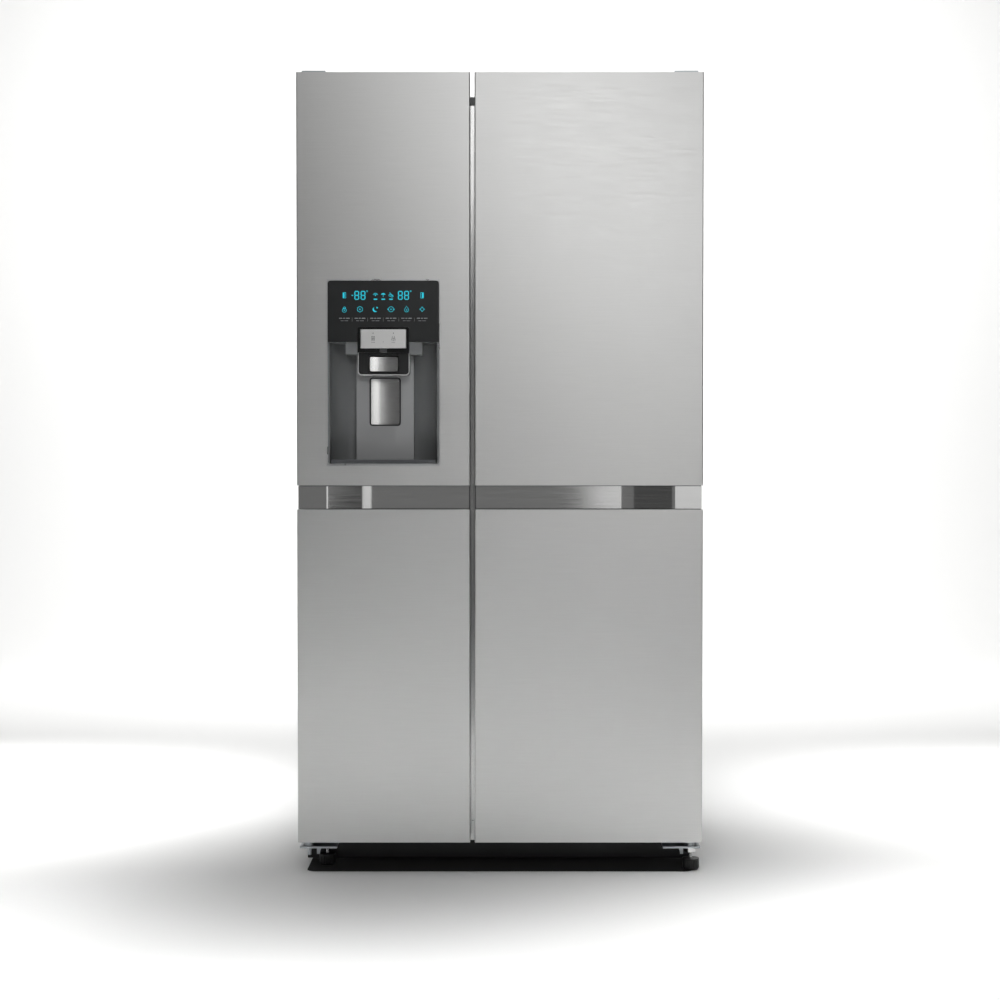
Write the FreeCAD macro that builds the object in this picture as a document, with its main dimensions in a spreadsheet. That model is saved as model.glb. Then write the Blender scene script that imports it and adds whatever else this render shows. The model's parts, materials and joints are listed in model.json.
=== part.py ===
import FreeCAD, Part

import math
import os
import re

import Sketcher

# A side by side refrigerator: freezer on the left, fridge on the right, one hinged door each.
# +Z is up, the doors face -Y, and the origin lies on the floor under the middle of the body.
# Millimetres throughout.

doc = FreeCAD.newDocument("SideBySideRefrigerator")

# Driving dimensions

DIMENSIONS = {
    # cabinet
    "case_half": 444,
    "case_front": -275,
    "case_back": 355,
    "case_floor": 57,
    "case_roof": 1708,
    "plinth_top": 1726,
    "steel": 1.5,
    "floor_plate": 3,
    # compartments, inside their liners
    "liner_wall": 2,
    "room_side": 398,
    "freezer_edge": -91,
    "fridge_edge": -31,
    "room_floor": 128,
    "room_roof": 1662,
    "room_back": 308,
    "step_front": 100,
    "step_top": 360,
    "machine_front": 120,
    "machine_top": 330,
    "shelf_front": -150,
    "shelf_back": 288,
    "shelf_thick": 6,
    "drawer_front": -155,
    "drawer_wall": 2.5,
    "cover_front": 290,
    # doors
    "door_half": 447.5,
    "left_door_edge": -66,
    "right_door_edge": -56,
    "door_front": -352,
    "door_back": -285,
    "door_bottom": 67.5,
    "door_top": 1765,
    "skin": 1,
    "skin_round": 2.4,
    "band_bottom": 805,
    "band_top": 858,
    "band_gap": 1.5,
    "band_inset": 2.5,
    "band_wall": 2.5,
    "band_outer_front": -349,
    "band_floor_front": -325,
    "band_ramp_outer": 383,
    "band_ramp_inner": 288,
    "band_crest_round": 30,
    "band_foot_round": 150,
    "grip_depth": 15,
    "grip_outer": 380,
    "grip_margin": 25,
    "door_liner_wall": 2,
    "plug_side": 392,
    "plug_margin": 14,
    "plug_wall": 6,
    "plug_back": -258,
    "seal_side": 422,
    "seal_width": 18,
    "seal_back": -275.2,
    "bin_side": 364,
    "bin_back": -180,
    "bin_tall": 85,
    "bin_wall": 2.5,
    # hinges and feet
    "hinge_side": 424,
    "hinge_line": -330,
    "pin_radius": 5,
    "bore_radius": 5.05,
    "pin_reach": 25,
    "bracket_thick": 4,
    "stud_radius": 4,
    "stud_bore": 4.05,
    "knob_radius": 19,
    "knob_tall": 25,
    "nut_bottom": 39,
    "left_foot_side": -390,
    "left_foot_line": -262,
    "right_foot_side": 426,
    "right_foot_line": -312,
    "roller_side": 368,
    "roller_width": 24,
    "roller_radius": 20,
    "roller_line": 280,
    # dispenser in the left door
    "recess_left": -375.5,
    "recess_right": -138,
    "recess_floor": 907,
    "recess_roof": 1173.5,
    "housing_left": -380.5,
    "housing_right": -133,
    "housing_bottom": 901,
    "housing_top": 1311.5,
    "housing_back": -258,
    "niche_radius": 50.5,
    "niche_centre": -314.5,
    "spine_left": -321,
    "spine_right": -192.5,
    "spine_front": -290,
    "panel_front": -352.8,
    "panel_back": -349,
    "selector_left": -313.5,
    "selector_right": -200,
    "selector_front": -355,
    "selector_back": -341,
    "selector_bottom": 1150.4,
    "selector_top": 1206.6,
    "spout_front": -340,
    "spout_bottom": 1101.3,
    "chute_left": -285,
    "chute_right": -229,
    "chute_front": -325,
    "chute_back": -293,
    "chute_roof": 1290,
    "chute_mouth": 1240,
    "bulge_left": -386,
    "bulge_right": -120,
    "bulge_bottom": 878,
    "bulge_top": 1332,
    "bulge_back": -226,
}

sheet = doc.addObject("Spreadsheet::Sheet", "dims")
for row, (alias, value) in enumerate(DIMENSIONS.items(), start=1):
    sheet.set(f"A{row}", alias)
    sheet.set(f"B{row}", str(value))
    sheet.setAlias(f"B{row}", alias)
doc.recompute()


def fx(text):
    """An expression in which every alias points at its cell of the sheet."""
    return re.sub(
        r"[a-z_]+",
        lambda word: f"dims.{word[0]}" if word[0] in DIMENSIONS else word[0],
        str(text),
    )


# Building blocks


def box(label, x, y, z):
    """A Part::Box between two expressions along each axis."""
    solid = doc.addObject("Part::Box", label)
    for side, axis, (low, high) in zip(("Length", "Width", "Height"), "xyz", (x, y, z)):
        solid.setExpression(side, fx(f"({high}) - ({low})"))
        solid.setExpression(f"Placement.Base.{axis}", fx(low))
    return solid


TURN_TO = {
    "Z": FreeCAD.Rotation(),
    "X": FreeCAD.Rotation(FreeCAD.Vector(0, 1, 0), 90),
    "Y": FreeCAD.Rotation(FreeCAD.Vector(1, 0, 0), -90),
}


def rod(label, radius, centre, start, end, axis="Z", sweep=360, turn=0):
    """A Part::Cylinder along one axis; centre holds the other two coordinates in X, Y, Z order."""
    solid = doc.addObject("Part::Cylinder", label)
    solid.Placement.Rotation = TURN_TO[axis] * FreeCAD.Rotation(FreeCAD.Vector(0, 0, 1), turn)
    solid.Angle = sweep
    solid.setExpression("Radius", fx(radius))
    solid.setExpression("Height", fx(f"({end}) - ({start})"))
    others = [name for name in "xyz" if name != axis.lower()]
    solid.setExpression(f"Placement.Base.{axis.lower()}", fx(start))
    for name, value in zip(others, centre):
        solid.setExpression(f"Placement.Base.{name}", fx(value))
    return solid


def fuse(label, *solids):
    """One solid out of several that touch or overlap."""
    joined = doc.addObject("Part::MultiFuse", label)
    joined.Shapes = list(solids)
    joined.Refine = True
    return joined


def cut(label, base, *tools):
    """The base less all the tools."""
    result = doc.addObject("Part::Cut", label)
    result.Base = base
    if len(tools) == 1:
        result.Tool = tools[0]
    else:
        result.Tool = doc.addObject("Part::Compound", f"{label}_tools")
        result.Tool.Links = list(tools)
    result.Refine = True
    return result


def group(label, *solids):
    """Identical pieces that share one node and stay separate solids."""
    gathered = doc.addObject("Part::Compound", label)
    gathered.Links = list(solids)
    return gathered


def origin_plane(body, role):
    """One of a body's own origin planes."""
    return next(item for item in body.Origin.OriginFeatures if item.Role == role)


def outline(body, label, corners, role="XY_Plane", lift=0):
    """A closed sketch through the corners, each held at its two expressions."""
    sketch = body.newObject("Sketcher::SketchObject", label)
    sketch.AttachmentSupport = [(origin_plane(body, role), "")]
    sketch.MapMode = "FlatFace"
    sketch.setExpression("AttachmentOffset.Base.z", fx(lift))
    count = len(corners)
    ring = [
        FreeCAD.Vector(100 * math.cos(turn), 100 * math.sin(turn), 0)
        for turn in (2 * math.pi * i / count for i in range(count))
    ]
    for i in range(count):
        sketch.addGeometry(Part.LineSegment(ring[i], ring[(i + 1) % count]))
    for i in range(count):
        sketch.addConstraint(Sketcher.Constraint("Coincident", i, 2, (i + 1) % count, 1))
    for i, (across, up) in enumerate(corners):
        for kind, name, value in (("DistanceX", "across", across), ("DistanceY", "up", up)):
            held = sketch.addConstraint(Sketcher.Constraint(kind, -1, 1, i, 1, 100))
            sketch.renameConstraint(held, f"{name}_{i}")
            sketch.setExpression(f"Constraints.{name}_{i}", fx(value))
    return sketch


def pad(body, sketch, length):
    """A pad of the sketch, its length an expression."""
    feature = body.newObject("PartDesign::Pad", f"{body.Name}_pad")
    feature.Profile = sketch
    feature.setExpression("Length", fx(length))
    doc.recompute()
    return feature


def pocket(body, sketch, length):
    """A pocket on the sketch, along its normal, that has to take material away."""
    before = body.Tip.Shape.Volume
    feature = body.newObject("PartDesign::Pocket", f"{body.Name}_{sketch.Name}_pocket")
    feature.Profile = sketch
    feature.Reversed = True
    feature.setExpression("Length", fx(length))
    doc.recompute()
    if feature.Shape.Volume >= before:
        raise RuntimeError(f"{feature.Label} cut nothing")
    return feature


def round_edges(body, radius, chosen):
    """A fillet on every edge of the tip for which chosen(edge) is true."""
    solid = body.Tip
    names = [f"Edge{i}" for i, edge in enumerate(solid.Shape.Edges, start=1) if chosen(edge)]
    feature = body.newObject("PartDesign::Fillet", f"{body.Name}_round")
    feature.Base = (solid, names)
    feature.setExpression("Radius", fx(radius))
    doc.recompute()
    return feature


def upright(edge):
    """True for a straight edge parallel to Z."""
    along = edge.lastVertex().Point - edge.firstVertex().Point
    return along.Length > 0 and abs(along.z) / along.Length > 0.999


def tray(label, x, y, z, wall):
    """An open box: a drawer, bin, bucket or pan with a wall of one thickness."""
    inside = box(
        f"{label}_inside",
        (f"{x[0]} + {wall}", f"{x[1]} - {wall}"),
        (f"{y[0]} + {wall}", f"{y[1]} - {wall}"),
        (f"{z[0]} + {wall}", f"{z[1]} + 1"),
    )
    return cut(label, box(f"{label}_outside", x, y, z), inside)


# Cabinet shell


def cabinet_wrapper():
    """Steel folded over the sides and top, with flanges that frame the front."""
    return cut(
        "cabinet_wrapper",
        box("wrapper_outside", ("-case_half", "case_half"), ("case_front", "case_back"), ("case_floor", "case_roof")),
        box(
            "wrapper_inside",
            ("-case_half + steel", "case_half - steel"),
            ("case_front + steel", "case_back + 1"),
            ("case_floor - 1", "case_roof - steel"),
        ),
        box("wrapper_mouth", ("-room_side", "room_side"), ("case_front - 1", "case_front + steel"), (0, "room_roof")),
        box(
            "wrapper_mullion_gap",
            ("freezer_edge + liner_wall", "fridge_edge - liner_wall"),
            ("case_front - 1", "case_front + steel"),
            ("room_roof - 1", "case_roof - steel"),
        ),
    )


def liner_outside(label, low, high):
    """The outer shape of a liner: a box with a step over the machine space."""
    return cut(
        label,
        box(
            f"{label}_block",
            (f"{low} - liner_wall", f"{high} + liner_wall"),
            ("case_front + steel", "room_back + liner_wall"),
            ("room_floor - liner_wall", "room_roof + liner_wall"),
        ),
        box(
            f"{label}_step",
            (f"{low} - 9", f"{high} + 9"),
            ("step_front - liner_wall", "room_back + 9"),
            ("room_floor - 9", "step_top - liner_wall"),
        ),
    )


def liner(label, low, high):
    """A vacuum-formed white compartment, open to the front."""
    return cut(
        label,
        liner_outside(f"{label}_outside", low, high),
        cut(
            f"{label}_room",
            box(f"{label}_space", (low, high), ("case_front", "room_back"), ("room_floor", "room_roof")),
            box(
                f"{label}_step_space",
                (f"{low} - 1", f"{high} + 1"),
                ("step_front", "room_back + 1"),
                ("room_floor - 1", "step_top"),
            ),
        ),
    )


def insulation_foam():
    """Foam that fills the walls between the wrapper, the liners and the machine space."""
    return cut(
        "insulation_foam",
        box(
            "foam_block",
            ("-case_half + steel", "case_half - steel"),
            ("case_front + steel", "case_back - steel"),
            ("case_floor + floor_plate", "case_roof - steel"),
        ),
        liner_outside("foam_freezer_space", "-room_side", "freezer_edge"),
        liner_outside("foam_fridge_space", "fridge_edge", "room_side"),
        box("foam_machine_space", ("-case_half", "case_half"), ("machine_front", "case_back"), (0, "machine_top")),
        box(
            "foam_mullion_space",
            ("freezer_edge + liner_wall", "fridge_edge - liner_wall"),
            ("case_front", "case_front + 5"),
            (0, "case_roof - 2"),
        ),
    )


def centre_mullion():
    """The strip that both doors close against, with a blind round hole near its foot."""
    strip = box(
        "mullion_strip",
        ("freezer_edge + liner_wall", "fridge_edge - liner_wall"),
        ("case_front", "case_front + 5"),
        ("case_floor", "case_roof - 2"),
    )
    middle = "(freezer_edge + fridge_edge) / 2"
    hole = rod("mullion_hole", 4.5, (middle, 105), "case_front - 1", "case_front + 3", axis="Y")
    return cut("centre_mullion", strip, hole)


def base_plate():
    """Steel floor with a front upstand, and ears and axles for the rear rollers."""
    solids = [
        box(
            "floor_sheet",
            ("-case_half + steel", "case_half - steel"),
            ("case_front + steel", "case_back - steel"),
            ("case_floor", "case_floor + floor_plate"),
        )
    ]
    for name, low, high in (
        ("freezer", "-room_side", "freezer_edge + liner_wall"),
        ("fridge", "fridge_edge - liner_wall", "room_side"),
    ):
        solids.append(
            box(
                f"upstand_{name}",
                (low, high),
                ("case_front", "case_front + steel"),
                ("case_floor", "room_floor"),
            )
        )
        solids.append(
            box(
                f"upstand_root_{name}",
                (low, high),
                ("case_front + steel", "case_front + steel + 1"),
                ("case_floor", "case_floor + floor_plate"),
            )
        )
    for name, sign in (("left", "-1"), ("right", "1")):
        for ear, offset in (("inner", -4), ("outer", "roller_width + 4")):
            middle = f"{sign} * (roller_side + {offset})"
            solids.append(
                box(
                    f"roller_{ear}_ear_{name}",
                    (f"{middle} - 2", f"{middle} + 2"),
                    ("roller_line - 12", "roller_line + 12"),
                    (8, "case_floor"),
                )
            )
        half = "(roller_width + 12) / 2"
        centre = f"{sign} * (roller_side + roller_width / 2)"
        solids.append(
            rod(
                f"roller_axle_{name}",
                "stud_radius",
                ("roller_line", "roller_radius"),
                f"{centre} - {half}",
                f"{centre} + {half}",
                axis="X",
            )
        )
    plate = fuse("floor_with_ears", *solids)
    return cut(
        "base_plate",
        plate,
        rod("floor_stud_hole", "stud_bore", ("left_foot_side", "left_foot_line"), 50, 70),
        box(
            "floor_mullion_notch",
            ("freezer_edge + liner_wall", "fridge_edge - liner_wall"),
            ("case_front", "case_front + 5"),
            (50, 70),
        ),
    )


def machine_cover():
    """Louvred sheet over the machine space, pierced for the mains inlet and the water fitting."""
    sheet_metal = box(
        "cover_sheet",
        ("-case_half + steel", "case_half - steel"),
        ("case_back - steel", "case_back"),
        ("case_floor + floor_plate", "machine_top"),
    )
    openings = [
        box("cover_inlet_hole", (-400, -350), ("case_back - 9", "case_back + 1"), (270, 305)),
        rod("cover_valve_hole", 22, (395, 125), "case_back - 9", "case_back + 1", axis="Y"),
    ]
    for column in range(3):
        for row in range(6):
            left = -230 + 170 * column
            bottom = 110 + 30 * row
            openings.append(
                box(
                    f"louvre_{column}_{row}",
                    (left, left + 140),
                    ("case_back - 9", "case_back + 1"),
                    (bottom, bottom + 8),
                )
            )
    return cut("machine_cover", sheet_metal, *openings)


def top_cover():
    """Grey plinth along the top front edge, notched around the two hinge risers."""
    return cut(
        "top_cover",
        box(
            "plinth",
            ("-case_half + 2", "case_half - 2"),
            ("case_front", -150),
            ("case_roof", "plinth_top"),
        ),
        box("plinth_notch_left", (-436, -384), (-266, -200), ("case_roof - 1", "plinth_top + 1")),
        box("plinth_notch_right", (384, 436), (-266, -200), ("case_roof - 1", "plinth_top + 1")),
    )


# Hinges, screws, feet and rollers


def top_hinge(side, sign):
    """Riser on the cabinet roof, arm over the door and a pin down into the door."""
    across = sorted((sign * 384, sign * 436))
    return fuse(
        f"top_hinge_{side}",
        box(f"hinge_riser_{side}", across, (-266, -200), ("case_roof", "door_top + 1")),
        box(f"hinge_arm_{side}", across, ("hinge_line - 14", -200), ("door_top + 1", "door_top + 5")),
        rod(
            f"hinge_top_pin_{side}",
            "pin_radius",
            (f"{sign} * hinge_side", "hinge_line"),
            "door_top - pin_reach + 3",
            "door_top + 3",
        ),
    )


def hinge_cover(side, sign):
    """Plastic cap over a hinge riser, open towards the door."""
    return cut(
        f"hinge_cap_{side}",
        box(f"hinge_cap_{side}_outside", sorted((sign * 377, sign * 443)), (-268, -190), ("plinth_top", 1775)),
        box(f"hinge_cap_{side}_inside", sorted((sign * 379, sign * 441)), (-269, -192), ("plinth_top - 1", 1773)),
    )


def bottom_hinge(side, sign):
    """Bracket under the cabinet with the lower pin, a collar and a zinc flange."""
    pin = (f"{sign} * hinge_side", "hinge_line")
    top = "case_floor"
    under = "case_floor - bracket_thick"
    solids = [
        box(f"bracket_{side}", sorted((sign * 362, sign * 444)), ("hinge_line - 15", -240), (under, top)),
        rod(f"bracket_collar_{side}", 9, pin, top, "door_bottom - 1"),
        rod(f"bracket_pin_{side}", "pin_radius", pin, top, "door_bottom + pin_reach - 3"),
        cut(
            f"bracket_flange_{side}",
            box(f"flange_sheet_{side}", sorted((sign * 381, sign * 412)), (-288, -286), (28, under)),
            rod(f"flange_curve_{side}", 24, (sign * 381, 29), -290, -284, axis="Y"),
        ),
    ]
    holes = [
        rod("bracket_stud_hole_left", "stud_bore", ("left_foot_side", "left_foot_line"), 50, 60),
    ]
    if side == "left":
        solids.append(rod("bracket_lower_stud", "pin_radius - 0.5", pin, 36, under))
    else:
        holes = [
            rod("bracket_stud_hole_right", "stud_bore", ("right_foot_side", "right_foot_line"), 50, 60),
        ]
    return cut(f"bottom_hinge_{side}", fuse(f"bracket_with_pin_{side}", *solids), *holes)


def dome_screw(side, sign):
    """Dome head that holds a lower bracket, seen from below."""
    head = doc.addObject("Part::Sphere", f"dome_screw_{side}")
    head.Radius = 7
    head.Angle1 = -90
    head.Angle2 = 0
    head.Placement.Base = FreeCAD.Vector(sign * 371, -300, 0)
    head.setExpression("Placement.Base.z", fx("case_floor - bracket_thick"))
    return head


def lock_nut(side, across, along):
    """Hex nut that jams a foot's stud under its bracket."""
    hexagon = doc.addObject("Part::Prism", f"hexagon_{side}")
    hexagon.Polygon = 6
    hexagon.Circumradius = 13
    hexagon.setExpression("Height", fx("case_floor - bracket_thick - nut_bottom"))
    hexagon.setExpression("Placement.Base.x", fx(across))
    hexagon.setExpression("Placement.Base.y", fx(along))
    hexagon.setExpression("Placement.Base.z", fx("nut_bottom"))
    return cut(
        f"lock_nut_{side}",
        hexagon,
        rod(f"lock_nut_bore_{side}", "stud_bore", (across, along), "nut_bottom - 1", "case_floor"),
    )


def foot(side, across, along, stud_top):
    """Ribbed knob with a tapered sole, moulded on a threaded stud."""
    sole = doc.addObject("Part::Cone", f"sole_{side}")
    sole.Height = 5
    sole.setExpression("Radius1", fx("knob_radius - 3"))
    sole.setExpression("Radius2", fx("knob_radius"))
    sole.setExpression("Placement.Base.x", fx(across))
    sole.setExpression("Placement.Base.y", fx(along))
    grooves = []
    count = 14
    for i in range(count):
        turn = 2 * math.pi * i / count
        grooves.append(
            rod(
                f"knob_groove_{side}_{i}",
                1.6,
                (
                    f"{across} + (knob_radius + 0.4) * {math.cos(turn):.6f}",
                    f"{along} + (knob_radius + 0.4) * {math.sin(turn):.6f}",
                ),
                5,
                "knob_tall - 4",
            )
        )
    knob = cut(
        f"knob_{side}",
        fuse(f"knob_blank_{side}", sole, rod(f"grip_{side}", "knob_radius", (across, along), 5, "knob_tall")),
        *grooves,
    )
    return fuse(f"foot_{side}", knob, rod(f"stud_{side}", "stud_radius", (across, along), "knob_tall - 3", stud_top))


def roller(side, sign):
    """Rear roller turned from nylon, bored for its axle."""
    body = doc.addObject("PartDesign::Body", f"roller_{side}")
    low, high = ("stud_bore", "roller_radius")
    sketch = outline(
        body,
        f"roller_half_section_{side}",
        [
            (0, low),
            ("roller_width", low),
            ("roller_width", f"{high} - 2"),
            ("roller_width - 2", high),
            (2, high),
            (0, f"{high} - 2"),
        ],
        role="XZ_Plane",
    )
    turned = body.newObject("PartDesign::Revolution", f"roller_turned_{side}")
    turned.Profile = sketch
    turned.ReferenceAxis = (sketch, ["H_Axis"])
    turned.Angle = 360
    start = "roller_side" if sign > 0 else "-roller_side - roller_width"
    body.setExpression("Placement.Base.x", fx(start))
    body.setExpression("Placement.Base.y", fx("roller_line"))
    body.setExpression("Placement.Base.z", fx("roller_radius"))
    return body


# Machine space


def compressor():
    """Welded steel pot on a foot plate."""
    pot = doc.addObject("Part::Fillet", "compressor_pot")
    pot.Base = rod("compressor_can", 72, (300, 235), 66, 226)
    doc.recompute()
    rims = [i for i, edge in enumerate(pot.Base.Shape.Edges, start=1) if edge.Curve.TypeId == "Part::GeomCircle"]
    pot.Edges = [(i, 28, 28) for i in rims]
    plate = box("compressor_plate", (210, 390), (155, 315), ("case_floor + floor_plate", 66.5))
    return fuse("compressor", pot, rod("compressor_neck", 40, (300, 235), 66, 90), plate)


def condenser_coil():
    """Finned heat exchanger, grooved on its two broad faces."""
    block = box("condenser_block", (-300, -60), (150, 320), ("case_floor + floor_plate", 254))
    grooves = []
    for i in range(14):
        left = -292 + 16.5 * i
        for name, front, back in (("front", 149, 190), ("rear", 280, 321)):
            grooves.append(box(f"fin_groove_{name}_{i}", (left, left + 9), (front, back), (72, 246)))
    return cut("condenser_coil", block, *grooves)


def fan_motor():
    """Motor on a post, with a shaft towards the condenser."""
    return fuse(
        "fan_motor",
        box("motor_post", (75, 95), (225, 245), ("case_floor + floor_plate", 140)),
        rod("motor_can", 22, (235, 150), 60, 110, axis="X"),
        rod("motor_shaft", 3, (235, 150), 30, 61, axis="X"),
    )


def condenser_fan():
    """Five-bladed fan that turns on the motor's shaft."""
    solids = [rod("fan_hub", 16, (235, 150), 32, 56, axis="X")]
    count = 5
    for i in range(count):
        blade = doc.addObject("Part::Box", f"fan_blade_{i}")
        blade.Length = 3
        blade.Width = 40
        blade.Height = 58
        pitch = FreeCAD.Rotation(FreeCAD.Vector(0, 0, 1), 22)
        spin = FreeCAD.Rotation(FreeCAD.Vector(1, 0, 0), 360 * i / count)
        root = spin.multVec(FreeCAD.Vector(0, -20, 12))
        blade.Placement = FreeCAD.Placement(FreeCAD.Vector(36, 235, 150) + root, spin * pitch)
        solids.append(blade)
    bore = rod("fan_bore", 3.06, (235, 150), 31, 57, axis="X")
    return cut("condenser_fan", fuse("fan_blank", *solids), bore)


def power_inlet():
    """Three-pin mains inlet in the machine cover."""
    back = "case_back - 0.5"
    shell = cut(
        "inlet_shell",
        box("inlet_block", (-400, -350), (328, back), (270, 305)),
        box("inlet_socket", (-394, -356), (334, "case_back"), (275, 300)),
    )
    pins = [
        box(f"inlet_pin_{i}", (left, left + 4), (333, 348), (bottom, bottom + 6))
        for i, (left, bottom) in enumerate(((-385, 280), (-369, 280), (-377, 290)))
    ]
    return fuse("power_inlet", shell, *pins)


def water_valve():
    """Solenoid valve on a post, with a round hose fitting towards the rear."""
    return fuse(
        "water_valve",
        box("valve_post", (410, 420), (300, 335), ("case_floor + floor_plate", 104)),
        box("valve_body", (372, 420), (300, 335), (100, 152)),
        rod("valve_fitting", 13.2, (395, 125), 330, 353, axis="Y"),
    )


# Inside the compartments


def duct_cover(label, low, high):
    """Cold air cover on the back wall, with a row of outlets."""
    panel = box(
        f"{label}_panel",
        (f"{low} + 2", f"{high} - 2"),
        ("cover_front", "room_back"),
        ("step_top + 2", "room_roof - 12"),
    )
    middle = f"({low} + {high}) / 2"
    slots = [
        box(
            f"{label}_slot_{i}",
            (f"{middle} - 70", f"{middle} + 70"),
            ("cover_front - 1", "cover_front + 8"),
            (720 + 230 * i, 734 + 230 * i),
        )
        for i in range(4)
    ]
    return cut(label, panel, *slots)


def shelves(label, low, high, heights):
    """Glass shelves across one compartment."""
    return group(
        label,
        *[
            box(
                f"{label}_{i}",
                (f"{low} + 1", f"{high} - 1"),
                ("shelf_front", "shelf_back"),
                (level, f"{level} + shelf_thick"),
            )
            for i, level in enumerate(heights)
        ],
    )


def drawer(label, low, high, back, bottom, top):
    """An open plastic drawer."""
    return tray(label, (f"{low} + 4", f"{high} - 4"), ("drawer_front", back), (bottom, top), "drawer_wall")


# Doors


def skin(label, low, high, bottom, top, window=None):
    """Brushed steel wrapped around the front and the two sides of a door, with rounded front edges."""
    body = doc.addObject("PartDesign::Body", label)
    outer = outline(
        body,
        f"{label}_outer",
        [(low, "door_front"), (high, "door_front"), (high, "door_back"), (low, "door_back")],
        lift=bottom,
    )
    pad(body, outer, f"({top}) - ({bottom})")
    front = DIMENSIONS["door_front"]
    round_edges(body, "skin_round", lambda edge: upright(edge) and abs(edge.CenterOfMass.y - front) < 1)
    inner = outline(
        body,
        f"{label}_inner",
        [
            (f"{low} + skin", "door_front + skin"),
            (f"{high} - skin", "door_front + skin"),
            (f"{high} - skin", "door_back + 1"),
            (f"{low} + skin", "door_back + 1"),
        ],
        lift=bottom,
    )
    pocket(body, inner, f"({top}) - ({bottom})")
    if window:
        left, right, sill, lintel = window
        opening = outline(
            body,
            f"{label}_window",
            [(left, "door_front - 5"), (right, "door_front - 5"), (right, "door_front + 5"), (left, "door_front + 5")],
            lift=sill,
        )
        pocket(body, opening, f"({lintel}) - ({sill})")
    return body


def handle_band(side, sign, edge):
    """Polished strip: a flat outer end, a ramp inwards and a deep floor to the door's inner edge."""
    body = doc.addObject("PartDesign::Body", f"{side}_handle_band")
    outer = f"{sign} * (door_half - band_inset)"
    inner = f"{edge} - {sign} * (-band_inset)"
    crest = f"{sign} * band_ramp_outer"
    foot_of_ramp = f"{sign} * band_ramp_inner"
    sketch = outline(
        body,
        f"{side}_band_section",
        [
            (outer, "band_outer_front"),
            (crest, "band_outer_front"),
            (foot_of_ramp, "band_floor_front"),
            (inner, "band_floor_front"),
            (inner, "band_floor_front + band_wall"),
            (foot_of_ramp, "band_floor_front + band_wall"),
            (crest, "band_outer_front + band_wall"),
            (outer, "band_outer_front + band_wall"),
        ],
        lift="band_bottom + band_gap",
    )
    pad(body, sketch, "band_top - band_bottom - 2 * band_gap")
    corner = DIMENSIONS["band_ramp_inner"]
    crest_at = DIMENSIONS["band_ramp_outer"]
    floor_at = DIMENSIONS["band_floor_front"]
    outer_at = DIMENSIONS["band_outer_front"]
    round_edges(
        body,
        "band_foot_round",
        lambda edge: upright(edge)
        and abs(abs(edge.CenterOfMass.x) - corner) < 1
        and abs(edge.CenterOfMass.y - floor_at) < 1,
    )
    round_edges(
        body,
        "band_crest_round",
        lambda edge: upright(edge)
        and abs(abs(edge.CenterOfMass.x) - crest_at) < 1
        and abs(edge.CenterOfMass.y - outer_at) < 1,
    )
    return body


def door_core_cuts(side, sign, edge):
    """The spaces in a door's core for its band, finger grips and hinge pins."""
    grip_end = f"{edge} + {sign} * grip_margin"
    grip = sorted_pair(f"{sign} * grip_outer", grip_end, sign)
    across = sorted_pair(f"{sign} * (door_half + 1)", f"{edge} - {sign} * 1", sign)
    pin = (f"{sign} * hinge_side", "hinge_line")
    return [
        box(
            f"{side}_band_space",
            across,
            ("door_front", "band_floor_front + band_wall"),
            ("band_bottom", "band_top"),
        ),
        box(
            f"{side}_grip_space",
            grip,
            ("band_outer_front", "band_floor_front - 2"),
            ("band_bottom - grip_depth", "band_top + grip_depth"),
        ),
        rod(f"{side}_pin_bore_low", "bore_radius", pin, "door_bottom - 1", "door_bottom + pin_reach"),
        rod(f"{side}_pin_bore_high", "bore_radius", pin, "door_top - pin_reach", "door_top + 1"),
    ]


def sorted_pair(outer, inner, sign):
    """The two ends in rising order, for the side of the given sign."""
    return (outer, inner) if sign < 0 else (inner, outer)


def core_block(side, sign, edge):
    """The foamed body inside the skins of one door."""
    across = sorted_pair(f"{sign} * (door_half - skin)", f"{edge} + {sign} * skin", sign)
    return box(f"{side}_core_block", across, ("door_front + skin", "door_back"), ("door_bottom", "door_top"))


def left_door_core():
    """The freezer door's core, thickened behind the dispenser and pierced for the ice chute."""
    thicker = fuse(
        "left_core_blank",
        core_block("left", -1, "left_door_edge"),
        box(
            "left_core_bulge",
            ("bulge_left + door_liner_wall", "bulge_right - door_liner_wall"),
            ("door_back - 1", "bulge_back - door_liner_wall"),
            ("bulge_bottom + door_liner_wall", "bulge_top - door_liner_wall"),
        ),
    )
    housing_space = box(
        "left_core_housing_space",
        ("housing_left", "housing_right"),
        ("door_front", "housing_back"),
        ("housing_bottom", "housing_top"),
    )
    return cut("left_door_core", thicker, housing_space, ice_way("core"), *door_core_cuts("left", -1, "left_door_edge"))


def right_door_core():
    """The fridge door's core."""
    return cut("right_door_core", core_block("right", 1, "right_door_edge"), *door_core_cuts("right", 1, "right_door_edge"))


def ice_way(owner):
    """The level passage that leads ice from the freezer to the chute."""
    return box(
        f"ice_way_{owner}",
        ("chute_left", "chute_right"),
        ("chute_back - 1", "bulge_back + 1"),
        ("chute_mouth", "chute_roof"),
    )


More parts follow.
